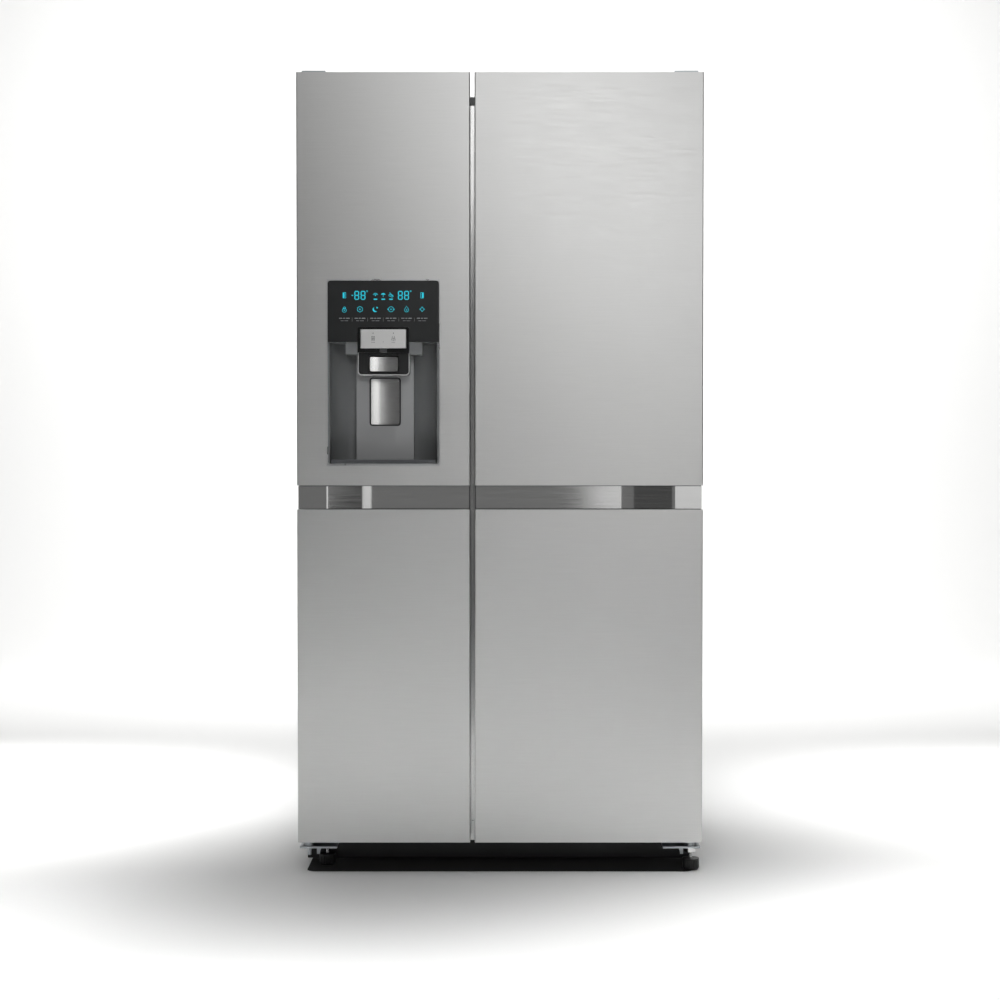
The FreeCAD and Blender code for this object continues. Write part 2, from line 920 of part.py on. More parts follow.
def door_liner(side, sign, edge, room_edge):
    """Inner door panel with the raised rim that plugs the compartment's mouth."""
    plate = sorted_pair(f"{sign} * (door_half - 7.5)", f"{edge} + {sign} * 5", sign)
    rim = sorted_pair(f"{sign} * plug_side", f"{room_edge} + {sign} * plug_margin", sign)
    rim_z = ("room_floor + plug_margin", "room_roof - plug_margin")
    ring = cut(
        f"{side}_plug",
        box(f"{side}_plug_outside", rim, ("door_back + 1", "plug_back"), rim_z),
        box(
            f"{side}_plug_inside",
            (f"{rim[0]} + plug_wall", f"{rim[1]} - plug_wall"),
            ("door_back", "plug_back + 1"),
            (f"{rim_z[0]} + plug_wall", f"{rim_z[1]} - plug_wall"),
        ),
    )
    panel = box(
        f"{side}_liner_plate",
        plate,
        ("door_back", "door_back + door_liner_wall"),
        ("door_bottom + 5", "door_top - 5"),
    )
    if side == "right":
        return fuse("right_door_liner", panel, ring)
    bulge = box(
        "left_bulge",
        ("bulge_left", "bulge_right"),
        ("door_back", "bulge_back"),
        ("bulge_bottom", "bulge_top"),
    )
    hollow = box(
        "left_bulge_hollow",
        ("bulge_left + door_liner_wall", "bulge_right - door_liner_wall"),
        ("door_back - 1", "bulge_back - door_liner_wall"),
        ("bulge_bottom + door_liner_wall", "bulge_top - door_liner_wall"),
    )
    return cut("left_door_liner", fuse("left_liner_blank", panel, ring, bulge), hollow, ice_way("liner"))


def gasket(side, sign, edge):
    """Magnetic seal around the rim of the door liner."""
    across = sorted_pair(f"{sign} * seal_side", f"{edge} + {sign} * 5", sign)
    up = (85, "case_roof - 10")
    along = ("door_back + door_liner_wall", "seal_back")
    return cut(
        f"{side}_gasket",
        box(f"{side}_gasket_outside", across, along, up),
        box(
            f"{side}_gasket_inside",
            (f"{across[0]} + seal_width", f"{across[1]} - seal_width"),
            (f"{along[0]} - 1", f"{along[1]} + 1"),
            (f"{up[0]} + seal_width", f"{up[1]} - seal_width"),
        ),
    )


def door_bins(side, across, levels):
    """Clear bins on the inside of one door."""
    along = ("door_back + door_liner_wall", "bin_back")
    return group(
        f"{side}_door_bins",
        *[
            tray(f"{side}_bin_{i}", across, along, (level, f"{level} + bin_tall"), "bin_wall")
            for i, level in enumerate(levels)
        ],
    )


# Dispenser


def dispenser_housing():
    """Moulded recess with two rounded niches beside a flat central spine."""
    block = box(
        "housing_block",
        ("housing_left", "housing_right"),
        ("door_front", "housing_back"),
        ("housing_bottom", "housing_top"),
    )
    up = ("recess_floor", "recess_roof")
    left_centre = ("recess_left + niche_radius", "niche_centre")
    right_centre = ("recess_right - niche_radius", "niche_centre")
    niche_back = "niche_centre + niche_radius"
    tools = [
        box("recess_mouth", ("recess_left", "recess_right"), ("door_front - 1", "niche_centre"), up),
        box("recess_middle", (left_centre[0], right_centre[0]), ("niche_centre - 1", "spine_front"), up),
        box("niche_flat_left", (left_centre[0], "spine_left"), ("niche_centre - 1", niche_back), up),
        box("niche_flat_right", ("spine_right", right_centre[0]), ("niche_centre - 1", niche_back), up),
        rod("niche_left", "niche_radius", left_centre, *up, sweep=90, turn=90),
        rod("niche_right", "niche_radius", right_centre, *up, sweep=90),
        box("paddle_pocket", (-290.5, -222.9), ("spine_front - 1", -268), (991, 1098)),
        box(
            "chute_shaft",
            ("chute_left", "chute_right"),
            ("chute_front", "chute_back"),
            ("recess_roof - 1", "chute_roof"),
        ),
        ice_way("housing"),
        box(
            "panel_seat",
            ("housing_left + 1.5", "housing_right - 1.5"),
            ("door_front - 1", "panel_back"),
            ("recess_roof - 1", "housing_top - 3.2"),
        ),
        box(
            "selector_seat",
            ("selector_left", "selector_right"),
            ("door_front - 1", "selector_back"),
            ("recess_roof - 1", "selector_top"),
        ),
    ]
    hollow = cut("housing_hollow", block, *tools)
    wings = [
        box(f"wing_{name}", across, ("spout_front - 5", "spine_front - 15"), ("recess_roof - 27", "recess_roof"))
        for name, across in (("left", (-340, "selector_left")), ("right", ("selector_right", -171)))
    ]
    return fuse("dispenser_housing", hollow, *wings)


def control_panel():
    """Black glass front above the recess, notched for the selector."""
    body = doc.addObject("PartDesign::Body", "control_panel")
    low, high = ("housing_left + 1.5", "housing_right - 1.5")
    bottom, top = ("recess_roof", "housing_top - 3.2")
    sketch = outline(
        body,
        "control_panel_face",
        [
            (low, bottom),
            ("selector_left", bottom),
            ("selector_left", "selector_top"),
            ("selector_right", "selector_top"),
            ("selector_right", bottom),
            (high, bottom),
            (high, top),
            (low, top),
        ],
        role="XZ_Plane",
        lift="-panel_back",
    )
    pad(body, sketch, "panel_back - panel_front")
    return body


def selector_panel():
    """Selector block with the ice and water keys, standing slightly proud of the glass."""
    return box(
        "selector_panel",
        ("selector_left", "selector_right"),
        ("selector_front", "selector_back"),
        ("selector_bottom", "selector_top"),
    )


def spout_housing():
    """Spout block with a through shaft for ice and a front window for its paddle."""
    return cut(
        "spout_housing",
        box(
            "spout_block",
            ("selector_left", "selector_right"),
            ("spout_front", "spine_front"),
            ("spout_bottom", "recess_roof"),
        ),
        box(
            "spout_shaft",
            ("chute_left", "chute_right"),
            ("chute_front", "spine_front - 1"),
            ("spout_bottom - 1", "recess_roof + 1"),
        ),
        box("spout_window", (-290, -223), ("spout_front - 1", "chute_front + 1"), (1106, 1146)),
    )


def drip_tray():
    """Slotted tray that lifts out of the recess."""
    plate = fuse(
        "drip_plate",
        box("drip_front", (-372, -141.5), (-350, -318), ("recess_floor", "recess_floor + 8")),
        box("drip_rear", (-345, -168), (-320, -292), ("recess_floor", "recess_floor + 8")),
    )
    slots = [
        box(f"drip_slot_{i}", (-335 + 15 * i, -327 + 15 * i), (-344, -298), ("recess_floor + 3", "recess_floor + 9"))
        for i in range(11)
    ]
    return cut("drip_tray", plate, *slots)


NODES = [
    cabinet_wrapper(),
    box(
        "rear_panel",
        ("-case_half + steel", "case_half - steel"),
        ("case_back - steel", "case_back"),
        ("machine_top", "case_roof - steel"),
    ),
    insulation_foam(),
    liner("freezer_liner", "-room_side", "freezer_edge"),
    liner("fridge_liner", "fridge_edge", "room_side"),
    centre_mullion(),
    base_plate(),
    box("toe_beam", (-438, 438), (-236, -216), (8, "case_floor - bracket_thick")),
    top_cover(),
    top_hinge("left", -1),
    top_hinge("right", 1),
    group("hinge_covers", hinge_cover("left", -1), hinge_cover("right", 1)),
    bottom_hinge("left", -1),
    bottom_hinge("right", 1),
    group("bracket_screws", dome_screw("left", -1), dome_screw("right", 1)),
    group(
        "foot_lock_nuts",
        lock_nut("left", "left_foot_side", "left_foot_line"),
        lock_nut("right", "right_foot_side", "right_foot_line"),
    ),
    foot("left", "left_foot_side", "left_foot_line", "case_floor + floor_plate - 0.1"),
    foot("right", "right_foot_side", "right_foot_line", "case_floor - 0.1"),
    roller("left", -1),
    roller("right", 1),
    compressor(),
    condenser_coil(),
    fan_motor(),
    condenser_fan(),
    tray("drip_pan", (-300, -60), (150, 320), (254, 290), 2),
    machine_cover(),
    water_valve(),
    power_inlet(),
    duct_cover("freezer_duct_cover", "-room_side", "freezer_edge"),
    duct_cover("fridge_duct_cover", "fridge_edge", "room_side"),
    shelves("freezer_shelves", "-room_side", "freezer_edge", (640, 870, 1100, 1325)),
    shelves("fridge_shelves", "fridge_edge", "room_side", (640, 870, 1100, 1330)),
    box("ice_maker", (-380, -110), (60, 285), (1545, 1650)),
    tray("ice_bucket", (-386, -104), (-150, 200), (1333, 1530), 3),
    drawer("freezer_drawer_upper", "-room_side", "freezer_edge", "cover_front - 4", 364, 610),
    drawer("freezer_drawer_lower", "-room_side", "freezer_edge", "step_front - 6", 130, 350),
    drawer("crisper_upper", "fridge_edge", "room_side", "cover_front - 4", 364, 610),
    drawer("crisper_lower", "fridge_edge", "room_side", "step_front - 6", 130, 350),
    skin(
        "left_upper_skin",
        "-door_half",
        "left_door_edge",
        "band_top",
        "door_top",
        window=("housing_left", "housing_right", "housing_bottom", "housing_top"),
    ),
    skin("left_lower_skin", "-door_half", "left_door_edge", "door_bottom", "band_bottom"),
    skin("right_upper_skin", "right_door_edge", "door_half", "band_top", "door_top"),
    skin("right_lower_skin", "right_door_edge", "door_half", "door_bottom", "band_bottom"),
    handle_band("left", -1, "left_door_edge"),
    handle_band("right", 1, "right_door_edge"),
    left_door_core(),
    right_door_core(),
    door_liner("left", -1, "left_door_edge", "freezer_edge"),
    door_liner("right", 1, "right_door_edge", "fridge_edge"),
    gasket("left", -1, "left_door_edge"),
    gasket("right", 1, "right_door_edge"),
    door_bins("left", ("-bin_side", -140), (160, 400, 640, 1345, 1520)),
    door_bins("right", (19, "bin_side"), (160, 400, 660, 900, 1160, 1420)),
    dispenser_housing(),
    control_panel(),
    selector_panel(),
    spout_housing(),
    box("ice_paddle", (-287.4, -225.6), (-338, -335), (1110, 1141.8)),
    box("water_paddle", (-288.5, -224.9), (-288, -285), (993.5, 1095.5)),
    drip_tray(),
    box("ice_flap", (-282, -232), ("chute_front + 1", "chute_back - 2"), (1176, 1179)),
]

doc.recompute()

failed = [item.Name for item in doc.Objects if {"Invalid", "Error"} & set(item.State)]
if failed:
    raise RuntimeError(f"objects that failed to compute: {failed}")
for node in NODES:
    if node.Shape.isNull() or not node.Shape.isValid():
        raise RuntimeError(f"{node.Label} has no valid shape")

os.makedirs("parts", exist_ok=True)
for node in NODES:
    node.Shape.exportStep(f"parts/{node.Label}.step")
    print(node.Label, len(node.Shape.Solids), round(node.Shape.Volume))
print(len(NODES), "nodes")
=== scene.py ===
import json
import math

import bpy
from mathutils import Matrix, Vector

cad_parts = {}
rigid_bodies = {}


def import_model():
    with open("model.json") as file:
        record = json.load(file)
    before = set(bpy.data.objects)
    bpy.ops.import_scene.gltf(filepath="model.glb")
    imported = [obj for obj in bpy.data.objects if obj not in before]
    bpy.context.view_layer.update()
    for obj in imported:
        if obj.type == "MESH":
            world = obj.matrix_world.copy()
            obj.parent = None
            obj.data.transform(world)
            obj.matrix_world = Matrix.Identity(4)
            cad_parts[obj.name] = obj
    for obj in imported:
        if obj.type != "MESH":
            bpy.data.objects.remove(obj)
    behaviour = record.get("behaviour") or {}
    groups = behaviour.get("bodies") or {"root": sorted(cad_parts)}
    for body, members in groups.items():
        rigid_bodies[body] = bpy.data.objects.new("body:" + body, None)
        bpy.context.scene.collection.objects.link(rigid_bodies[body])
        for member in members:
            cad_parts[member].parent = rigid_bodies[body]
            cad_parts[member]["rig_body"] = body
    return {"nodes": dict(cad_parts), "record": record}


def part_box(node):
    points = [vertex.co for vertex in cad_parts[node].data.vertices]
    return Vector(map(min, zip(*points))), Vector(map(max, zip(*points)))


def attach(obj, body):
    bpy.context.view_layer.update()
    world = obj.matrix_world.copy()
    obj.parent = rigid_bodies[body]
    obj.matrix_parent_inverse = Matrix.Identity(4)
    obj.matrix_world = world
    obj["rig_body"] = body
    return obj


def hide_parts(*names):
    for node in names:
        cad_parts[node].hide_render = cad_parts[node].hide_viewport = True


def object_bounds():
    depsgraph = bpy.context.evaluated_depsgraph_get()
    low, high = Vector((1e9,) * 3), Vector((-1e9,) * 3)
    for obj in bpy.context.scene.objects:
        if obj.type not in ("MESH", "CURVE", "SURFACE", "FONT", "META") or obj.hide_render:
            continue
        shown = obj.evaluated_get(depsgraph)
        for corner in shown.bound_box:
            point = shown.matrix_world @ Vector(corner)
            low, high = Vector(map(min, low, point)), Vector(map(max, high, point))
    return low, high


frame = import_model()
cad_low, cad_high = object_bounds()
nodes = frame["nodes"]
slot_of = {part["node"]: part["material_slot"] for part in frame["record"]["subparts"]}

# ---------------------------------------------------------------------------
# Studio: a pale sweep of paper, soft lights and a camera square to the doors.
# The sweep is one sheet: a floor that curves up into a wall behind the cabinet.

bpy.context.scene.view_settings.view_transform = "Standard"


def to_linear(code):
    """An sRGB hex colour as linear red, green, blue and alpha."""
    channels = [int(code[i:i + 2], 16) / 255 for i in (0, 2, 4)]
    return [c / 12.92 if c <= 0.04045 else ((c + 0.055) / 1.055) ** 2.4 for c in channels] + [1.0]


def put(tree, kind, settings=None, links=None):
    """A node with its settings, each of them a socket or a property, and its incoming links."""
    node = tree.nodes.new(kind)
    for name, value in (settings or {}).items():
        if isinstance(name, int) or name in node.inputs:
            node.inputs[name].default_value = value
        else:
            setattr(node, name, value)
    for name, source in (links or {}).items():
        tree.links.new(source, node.inputs[name])
    return node


def clear_selection():
    """Leaves edit mode with nothing selected."""
    if bpy.context.object and bpy.context.object.mode == "EDIT":
        bpy.ops.object.mode_set(mode="OBJECT")
    bpy.ops.object.select_all(action="DESELECT")


def choose(piece):
    """Makes the piece the only selected object and the active one."""
    clear_selection()
    piece.select_set(True)
    bpy.context.view_layer.objects.active = piece


def pick(piece, kind, wanted):
    """Enters edit mode with only the vertices, edges or faces that wanted() says yes to."""
    choose(piece)
    bpy.ops.object.mode_set(mode="EDIT")
    bpy.ops.mesh.select_mode(type=kind)
    bpy.ops.mesh.select_all(action="DESELECT")
    bpy.ops.object.mode_set(mode="OBJECT")
    parts = {"VERT": piece.data.vertices, "EDGE": piece.data.edges, "FACE": piece.data.polygons}
    for part in parts[kind]:
        part.select = wanted(part)
    bpy.ops.object.mode_set(mode="EDIT")


def add_modifier(piece, kind, **settings):
    """A modifier, set up and applied."""
    choose(piece)
    modifier = piece.modifiers.new(kind.lower(), kind)
    for name, value in settings.items():
        setattr(modifier, name, value)
    bpy.ops.object.modifier_apply(modifier=modifier.name)


clear_selection()
bpy.ops.mesh.primitive_plane_add(size=14, location=(0, -1.5, 0))
sweep = bpy.context.object
sweep.name = "paper_sweep"
bpy.ops.object.transform_apply(location=True)
points = sweep.data.vertices
pick(sweep, "EDGE", lambda edge: all(points[i].co.y > 5 for i in edge.vertices))
bpy.ops.mesh.extrude_edges_move(TRANSFORM_OT_translate={"value": (0, 0, 9)})
bpy.ops.mesh.select_all(action="SELECT")
bpy.ops.mesh.normals_make_consistent(inside=False)
bpy.ops.object.mode_set(mode="OBJECT")
add_modifier(sweep, "BEVEL", width=1.6, segments=16)
bpy.ops.object.shade_smooth()

# a dull black sheet under the cabinet is painted shadow: it keeps the floor there as dark as the cabinet's
# own shadow
bpy.ops.mesh.primitive_plane_add(size=1, location=(0, 0.01, 0.0006))
painted_shadow_sheet = bpy.context.object
painted_shadow_sheet.name = "painted_shadow_sheet"
painted_shadow_sheet.scale = (0.86, 0.70, 1)
bpy.ops.object.transform_apply(location=True, scale=True)
pick(painted_shadow_sheet, "VERT", lambda vertex: True)
bpy.ops.mesh.bevel(offset=0.02, segments=4, affect="VERTICES")
bpy.ops.object.mode_set(mode="OBJECT")

paper = bpy.data.materials.new("white_studio_paper")
paper.use_nodes = True
paper_surface = paper.node_tree.nodes["Principled BSDF"]
paper_surface.inputs["Base Color"].default_value = to_linear("f4f4f3")
paper_surface.inputs["Roughness"].default_value = 0.9
sweep.data.materials.append(paper)
# the sheet's near black colour is painted shadow, not a mat that stands under the real cabinet
shadow_sheet_finish = bpy.data.materials.new("painted_shadow_black")
shadow_sheet_finish.use_nodes = True
shadow_sheet_finish.node_tree.nodes["Principled BSDF"].inputs["Base Color"].default_value = to_linear("2a2a2a")
shadow_sheet_finish.node_tree.nodes["Principled BSDF"].inputs["Roughness"].default_value = 1.0
painted_shadow_sheet.data.materials.append(shadow_sheet_finish)

world = bpy.data.worlds.new("studio")
bpy.context.scene.world = world
world.use_nodes = True
world.node_tree.nodes["Background"].inputs["Color"].default_value = to_linear("ffffff")
world.node_tree.nodes["Background"].inputs["Strength"].default_value = 0.085

EYE = Vector((0.0, -4.35, 0.915))
LOOK_AT = Vector((0.0, -0.352, 0.826))
camera_data = bpy.data.cameras.new("camera")
camera = bpy.data.objects.new("camera", camera_data)
bpy.context.scene.collection.objects.link(camera)
camera.location = EYE
camera.rotation_euler = (LOOK_AT - EYE).to_track_quat("-Z", "Y").to_euler()
camera_data.lens = 65.3
camera_data.sensor_width = 36
bpy.context.scene.camera = camera

DOORS = Vector((0, -0.352, 0.9))
BANK_DISTANCE = 4.9
# softboxes round the camera, aimed at the doors: bearing and height in degrees, width, height, watts
BANKS = {
    "bank_top": (-5, 32, 1.5, 1.6, 7.6),
    "bank_front": (2, 20, 1.2, 1.0, 9.0),
    "key_right": (11.5, 6, 1.15, 1.75, 5.3),
    "key_high": (11, 16, 1.2, 0.8, 5.6),
    "side_right": (24, 24, 1.0, 1.6, 5.0),
    "overhead": (0, 56, 1.0, 1.0, 14.0),
    "fill_low": (-5, -2, 1.5, 0.7, 0.42),
}
# overhead lights that pool on the floor which the lower doors mirror: place, size, spread, watts
POOLS = {
    "pool_left": ((-1.2, -0.9, 2.3), (0.8, 0.8), 40, 3.6),
    "pool_near": ((0.3, -1.15, 2.3), (0.8, 0.8), 40, 2.9),
    "pool_right": ((1.05, -0.8, 2.3), (0.6, 0.6), 40, 3.7),
    "pool_middle": ((-0.45, -1.8, 2.3), (0.9, 0.9), 40, 7.6),
    "pool_far_left": ((-0.7, -2.8, 2.3), (1.0, 1.0), 40, 1.1),
    "pool_far_right": ((0.5, -2.3, 2.3), (1.0, 1.0), 40, 1.6),
    "floor_left": ((-1.6, 0.5, 2.8), (1.2, 0.4), 42, 16),
    "floor_right": ((1.6, 0.5, 2.8), (1.2, 0.4), 42, 11),
}


def softbox(name, place, aim, size, spread, watts):
    """A rectangular area light at a place, turned towards its aim."""
    lamp = bpy.data.lights.new(name, "AREA")
    lamp.shape = "RECTANGLE"
    lamp.size, lamp.size_y = size
    lamp.spread = math.radians(spread)
    lamp.energy = watts
    light = bpy.data.objects.new(name, lamp)
    bpy.context.scene.collection.objects.link(light)
    light.location = place
    light.rotation_euler = (Vector(aim) - Vector(place)).to_track_quat("-Z", "Y").to_euler()


for name, (bearing, height, wide, tall, watts) in BANKS.items():
    turn, rise = math.radians(bearing), math.radians(height)
    heading = Vector((math.sin(turn) * math.cos(rise), -math.cos(turn) * math.cos(rise), math.sin(rise)))
    softbox(name, DOORS + BANK_DISTANCE * heading, DOORS, (wide, tall), 180, watts)
for name, (place, size, spread, watts) in POOLS.items():
    softbox(name, place, (place[0], place[1], 0), size, spread, watts)
softbox("wall_wash", (0, 2.0, 3.4), (0, 5.5, 1.0), (5, 1), 180, 230)

# ---------------------------------------------------------------------------
# Steel door skins: 430 stainless sheet, brushed along its length and wrapped over the door's edges.
# The grit leaves level hairlines, which spread a highlight up and down more than sideways.

HAIRLINE_LONG = 0.090
# real hairlines are about 0.1 mm apart; they are drawn 2.4 mm apart so that they show at all
HAIRLINE_PITCH = 0.0024
# noise mostly stays between these two values
NOISE_LOW, NOISE_HIGH = 0.3, 0.7
SMOOTHEST = 0.02
SHARP_FROM = math.radians(40)
SMOOTH_UP_TO = math.radians(35)


def material(name, colour, roughness, metallic=0.0, coat=0.0):
    """A new material with constant values; gives the material, its node tree and its surface."""
    made = bpy.data.materials.new(name)
    made.use_nodes = True
    surface = made.node_tree.nodes["Principled BSDF"]
    surface.inputs["Base Color"].default_value = to_linear(colour)
    surface.inputs["Roughness"].default_value = roughness
    surface.inputs["Metallic"].default_value = metallic
    surface.inputs["Coat Weight"].default_value = coat
    return made, made.node_tree, surface


def noise_over(tree, scale, detail=3.0):
    """Noise laid over the object, with one scale for each axis in cycles per metre."""
    place = put(tree, "ShaderNodeTexCoord")
    stretch = put(tree, "ShaderNodeMapping", {"Scale": scale}, {"Vector": place.outputs["Object"]})
    noise = put(
        tree,
        "ShaderNodeTexNoise",
        {"Scale": 1.0, "Detail": detail, "Roughness": 0.6},
        {"Vector": stretch.outputs["Vector"]},
    )
    return noise.outputs["Fac"]


def tint(tree, surface, colour, contrast, pattern):
    """Lets the pattern take the colour a little darker and lighter."""
    base = to_linear(colour)[:3]
    dark = [c * (1 - contrast) for c in base] + [1.0]
    light = [min(1.0, c * (1 + contrast)) for c in base] + [1.0]
    tone = put(tree, "ShaderNodeMix", {"data_type": "RGBA", 6: dark, 7: light}, {"Factor": pattern})
    tree.links.new(tone.outputs[2], surface.inputs["Base Color"])


def vary_gloss(tree, surface, roughness, spread, pattern):
    """Lets the pattern take the roughness a little down and up."""
    gloss = put(
        tree,
        "ShaderNodeMapRange",
        {
            "From Min": NOISE_LOW,
            "From Max": NOISE_HIGH,
            "To Min": max(SMOOTHEST, roughness - spread),
            "To Max": roughness + spread,
        },
        {"Value": pattern},
    )
    tree.links.new(gloss.outputs["Result"], surface.inputs["Roughness"])


def emboss(tree, surface, strength, distance, pattern):
    """Raises the surface by the pattern, at most by the distance in metres."""
    relief = put(
        tree, "ShaderNodeBump", {"Strength": strength, "Distance": distance}, {"Height": pattern}
    )
    tree.links.new(relief.outputs["Normal"], surface.inputs["Normal"])


def brushed_steel(name, colour, roughness, contrast=0.05, anisotropy=0.5, upright=False):
    """Stainless steel with hairlines in its colour, gloss and relief, level or upright."""
    made, tree, surface = material(name, colour, roughness, metallic=1.0)
    surface.inputs["Anisotropic"].default_value = anisotropy
    surface.inputs["Anisotropic Rotation"].default_value = 0.0 if upright else 0.25
    along, across = 1 / HAIRLINE_LONG, 1 / HAIRLINE_PITCH
    hairline = noise_over(tree, (across, along, along) if upright else (along, along, across))
    tint(tree, surface, colour, contrast, hairline)
    vary_gloss(tree, surface, roughness, 0.03, hairline)
    emboss(tree, surface, 0.12, 0.0002, hairline)
    return made


def dress(made, *names):
    """Gives CAD nodes whose shape is right their finish."""
    for name in names:
        nodes[name].data.materials.clear()
        nodes[name].data.materials.append(made)


def settle(piece, made, body, slot, *stands_for):
    """Gives a finished piece its material and body, in place of any nodes that it stands for. The slot is not
    used.
    """
    piece.data.materials.clear()
    piece.data.materials.append(made)
    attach(piece, body)
    if stands_for:
        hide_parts(*stands_for)


def soften(piece, width, segments=2):
    """Rounds every sharp edge, with smooth shading that leaves the flat faces between them flat."""
    add_modifier(
        piece, "BEVEL", width=width, segments=segments, limit_method="ANGLE", angle_limit=SHARP_FROM
    )
    bpy.ops.object.shade_smooth_by_angle(angle=SMOOTH_UP_TO)
    add_modifier(piece, "WEIGHTED_NORMAL", keep_sharp=True, weight=90)


def recast(node, name, made, width, segments=3):
    """The node's shape as a new piece, its triangles joined into flat faces and its edges rounded."""
    piece = bpy.data.objects.new(name, nodes[node].data.copy())
    bpy.context.scene.collection.objects.link(piece)
    piece.data.name = name
    choose(piece)
    bpy.ops.object.mode_set(mode="EDIT")
    bpy.ops.mesh.select_all(action="SELECT")
    bpy.ops.mesh.remove_doubles(threshold=1e-5)
    bpy.ops.mesh.dissolve_limited(angle_limit=math.radians(1))
    bpy.ops.object.mode_set(mode="OBJECT")
    soften(piece, width, segments)
    settle(piece, made, nodes[node]["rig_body"], slot_of[node], node)
    return piece


steel = brushed_steel("brushed_430_stainless", "cececd", 0.36)
dress(steel, "left_upper_skin", "left_lower_skin", "right_upper_skin", "right_lower_skin")

# ---------------------------------------------------------------------------
# Handle bands: one strip of stainless on each door, polished after brushing, with a ramp that lets the
# fingers in behind the steel above and below it. It mirrors the room a little softly.

band_steel = brushed_steel("polished_band_stainless", "cdcdcc", 0.11, contrast=0.03, anisotropy=0.3)
dress(band_steel, "left_handle_band", "right_handle_band")

# ---------------------------------------------------------------------------
# Door bodies: polyurethane foamed between skin and liner, closed above and below by ABS end caps.
# The caps are moulded in dark grey, with the dull, even grain of an etched tool.


def moulded(name, colour, roughness, grain=0.0006, depth=0.00002, metallic=0.0, coat=0.0):
    """Moulded plastic: etched grain of the given size and depth, and a slow drift in colour and gloss."""
    made, tree, surface = material(name, colour, roughness, metallic, coat)
    etched = noise_over(tree, (1 / grain, 1 / grain, 1 / grain), detail=2.0)
    flow = noise_over(tree, (9, 9, 9))
    tint(tree, surface, colour, 0.04, flow)
    vary_gloss(tree, surface, roughness, 0.05, flow)
    emboss(tree, surface, 0.6, depth, etched)
    return made


cap_grey = moulded("dark_grey_abs_end_cap", "3c3e40", 0.5)
dress(cap_grey, "left_door_core", "right_door_core")

# ---------------------------------------------------------------------------
# Dispenser trim: a thin frame of satin aluminium pressed into the cut-out of the left door's steel.
# Its edge is rolled all the way round.


def block(name, low, high):
    """A box between two corners, the start of a piece that is then shaped."""
    clear_selection()
    bpy.ops.mesh.primitive_cube_add(size=1, location=[(a + b) / 2 for a, b in zip(low, high)])
    piece = bpy.context.object
    piece.name = piece.data.name = name
    piece.scale = [b - a for a, b in zip(low, high)]
    bpy.ops.object.transform_apply(location=True, rotation=True, scale=True)
    return piece


def edge_along(piece, axis, wanted=lambda middle: True):
    """A test for edges that run along one axis and whose middle wanted() says yes to."""

    def test(edge):
        a, b = (piece.data.vertices[i].co for i in edge.vertices)
        run = b - a
        return abs(run[axis]) > 0.999 * run.length and wanted((a + b) / 2)

    return test


def round_off(piece, radius, axis, wanted=lambda middle: True, segments=5):
    """Rounds the edges along one axis whose middle wanted() says yes to."""
    pick(piece, "EDGE", edge_along(piece, axis, wanted))
    bpy.ops.mesh.bevel(offset=radius, segments=segments, affect="EDGES")
    bpy.ops.object.mode_set(mode="OBJECT")


def carve(piece, *cutters):
    """Takes the cutters away from the piece and deletes them."""
    for cutter in cutters:
        add_modifier(piece, "BOOLEAN", object=cutter, operation="DIFFERENCE", solver="EXACT")
        bpy.data.objects.remove(cutter)


TRIM_WIDE = 0.0015
TRIM_PROUD = 0.0007
TRIM_OVERLAP = 0.0006
OUTER_CORNER = 0.0030
TRIM_DEEP = 0.003
CORNER = 0.0060
Y, Z = 1, 2

housing_low, housing_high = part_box("dispenser_housing")
panel_low, panel_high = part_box("control_panel")
recess_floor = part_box("drip_tray")[0].z
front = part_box("left_upper_skin")[0].y

trim = block(
    "dispenser_trim",
    (housing_low.x - TRIM_OVERLAP, front - TRIM_PROUD, housing_low.z - TRIM_OVERLAP),
    (housing_high.x + TRIM_OVERLAP, front + TRIM_DEEP, housing_high.z + TRIM_OVERLAP),
)
round_off(trim, OUTER_CORNER, Y)
hollow = block(
    "trim_hollow",
    (panel_low.x, front - 0.01, recess_floor - TRIM_WIDE),
    (panel_high.x, front + 0.01, panel_high.z + 0.0003),
)
round_off(hollow, CORNER, Y, segments=8)
carve(trim, hollow)
soften(trim, 0.0006, 3)
satin_aluminium = moulded("satin_anodised_aluminium", "c9cacb", 0.3, grain=0.0004, metallic=1.0)
settle(trim, satin_aluminium, "left_door", "satin_silver")

# ---------------------------------------------------------------------------
# Dispenser recess: one ABS moulding with a niche on each side of a flat spine.
# The tool is finely etched, so the grey takes a broad soft sheen and the niches fall into shade.

recess_grey = moulded("etched_grey_abs_recess", "848687", 0.38, grain=0.0008, depth=0.00003)
dress(recess_grey, "dispenser_housing")

# the spine is faced with a satin silver plate, open round the water paddle. Its lighter silver is partly the
# plate's finish and partly painted light, for the light that reaches the forward spine and not the niches
SPINE_LEFT, SPINE_RIGHT = -0.3210, -0.1925
SPINE_FRONT = -0.2900
PLATE_PROUD = 0.0008
OPENING_MARGIN = 0.0033
OPENING_CORNER = 0.0073
water_low, water_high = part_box("water_paddle")
spine_plate = block(
    "spine_plate",
    (SPINE_LEFT, SPINE_FRONT - PLATE_PROUD, recess_floor + 0.0003),
    (SPINE_RIGHT, SPINE_FRONT + 0.0002, panel_low.z - 0.0003),
)
opening = block(
    "opening",
    (water_low.x - OPENING_MARGIN, SPINE_FRONT - 0.01, water_low.z - OPENING_MARGIN),
    (water_high.x + OPENING_MARGIN, SPINE_FRONT + 0.01, water_high.z + OPENING_MARGIN),
)
round_off(opening, OPENING_CORNER, Y)
carve(spine_plate, opening)
soften(spine_plate, 0.0006, 3)
# the plate's light silver is partly painted light: the spine is lit more than the niches beside it
spine_silver_and_painted_light = moulded("satin_silver_plate_and_painted_light", "b2b3b4", 0.36, grain=0.0005, metallic=0.7)
settle(spine_plate, spine_silver_and_painted_light, "left_door", "recess_grey")

# ---------------------------------------------------------------------------
# Control panel: a pane of black tinted glass bonded over the display, cut away round the selector.
# A matt coat against glare lets its face take only a broad, faint sheen.

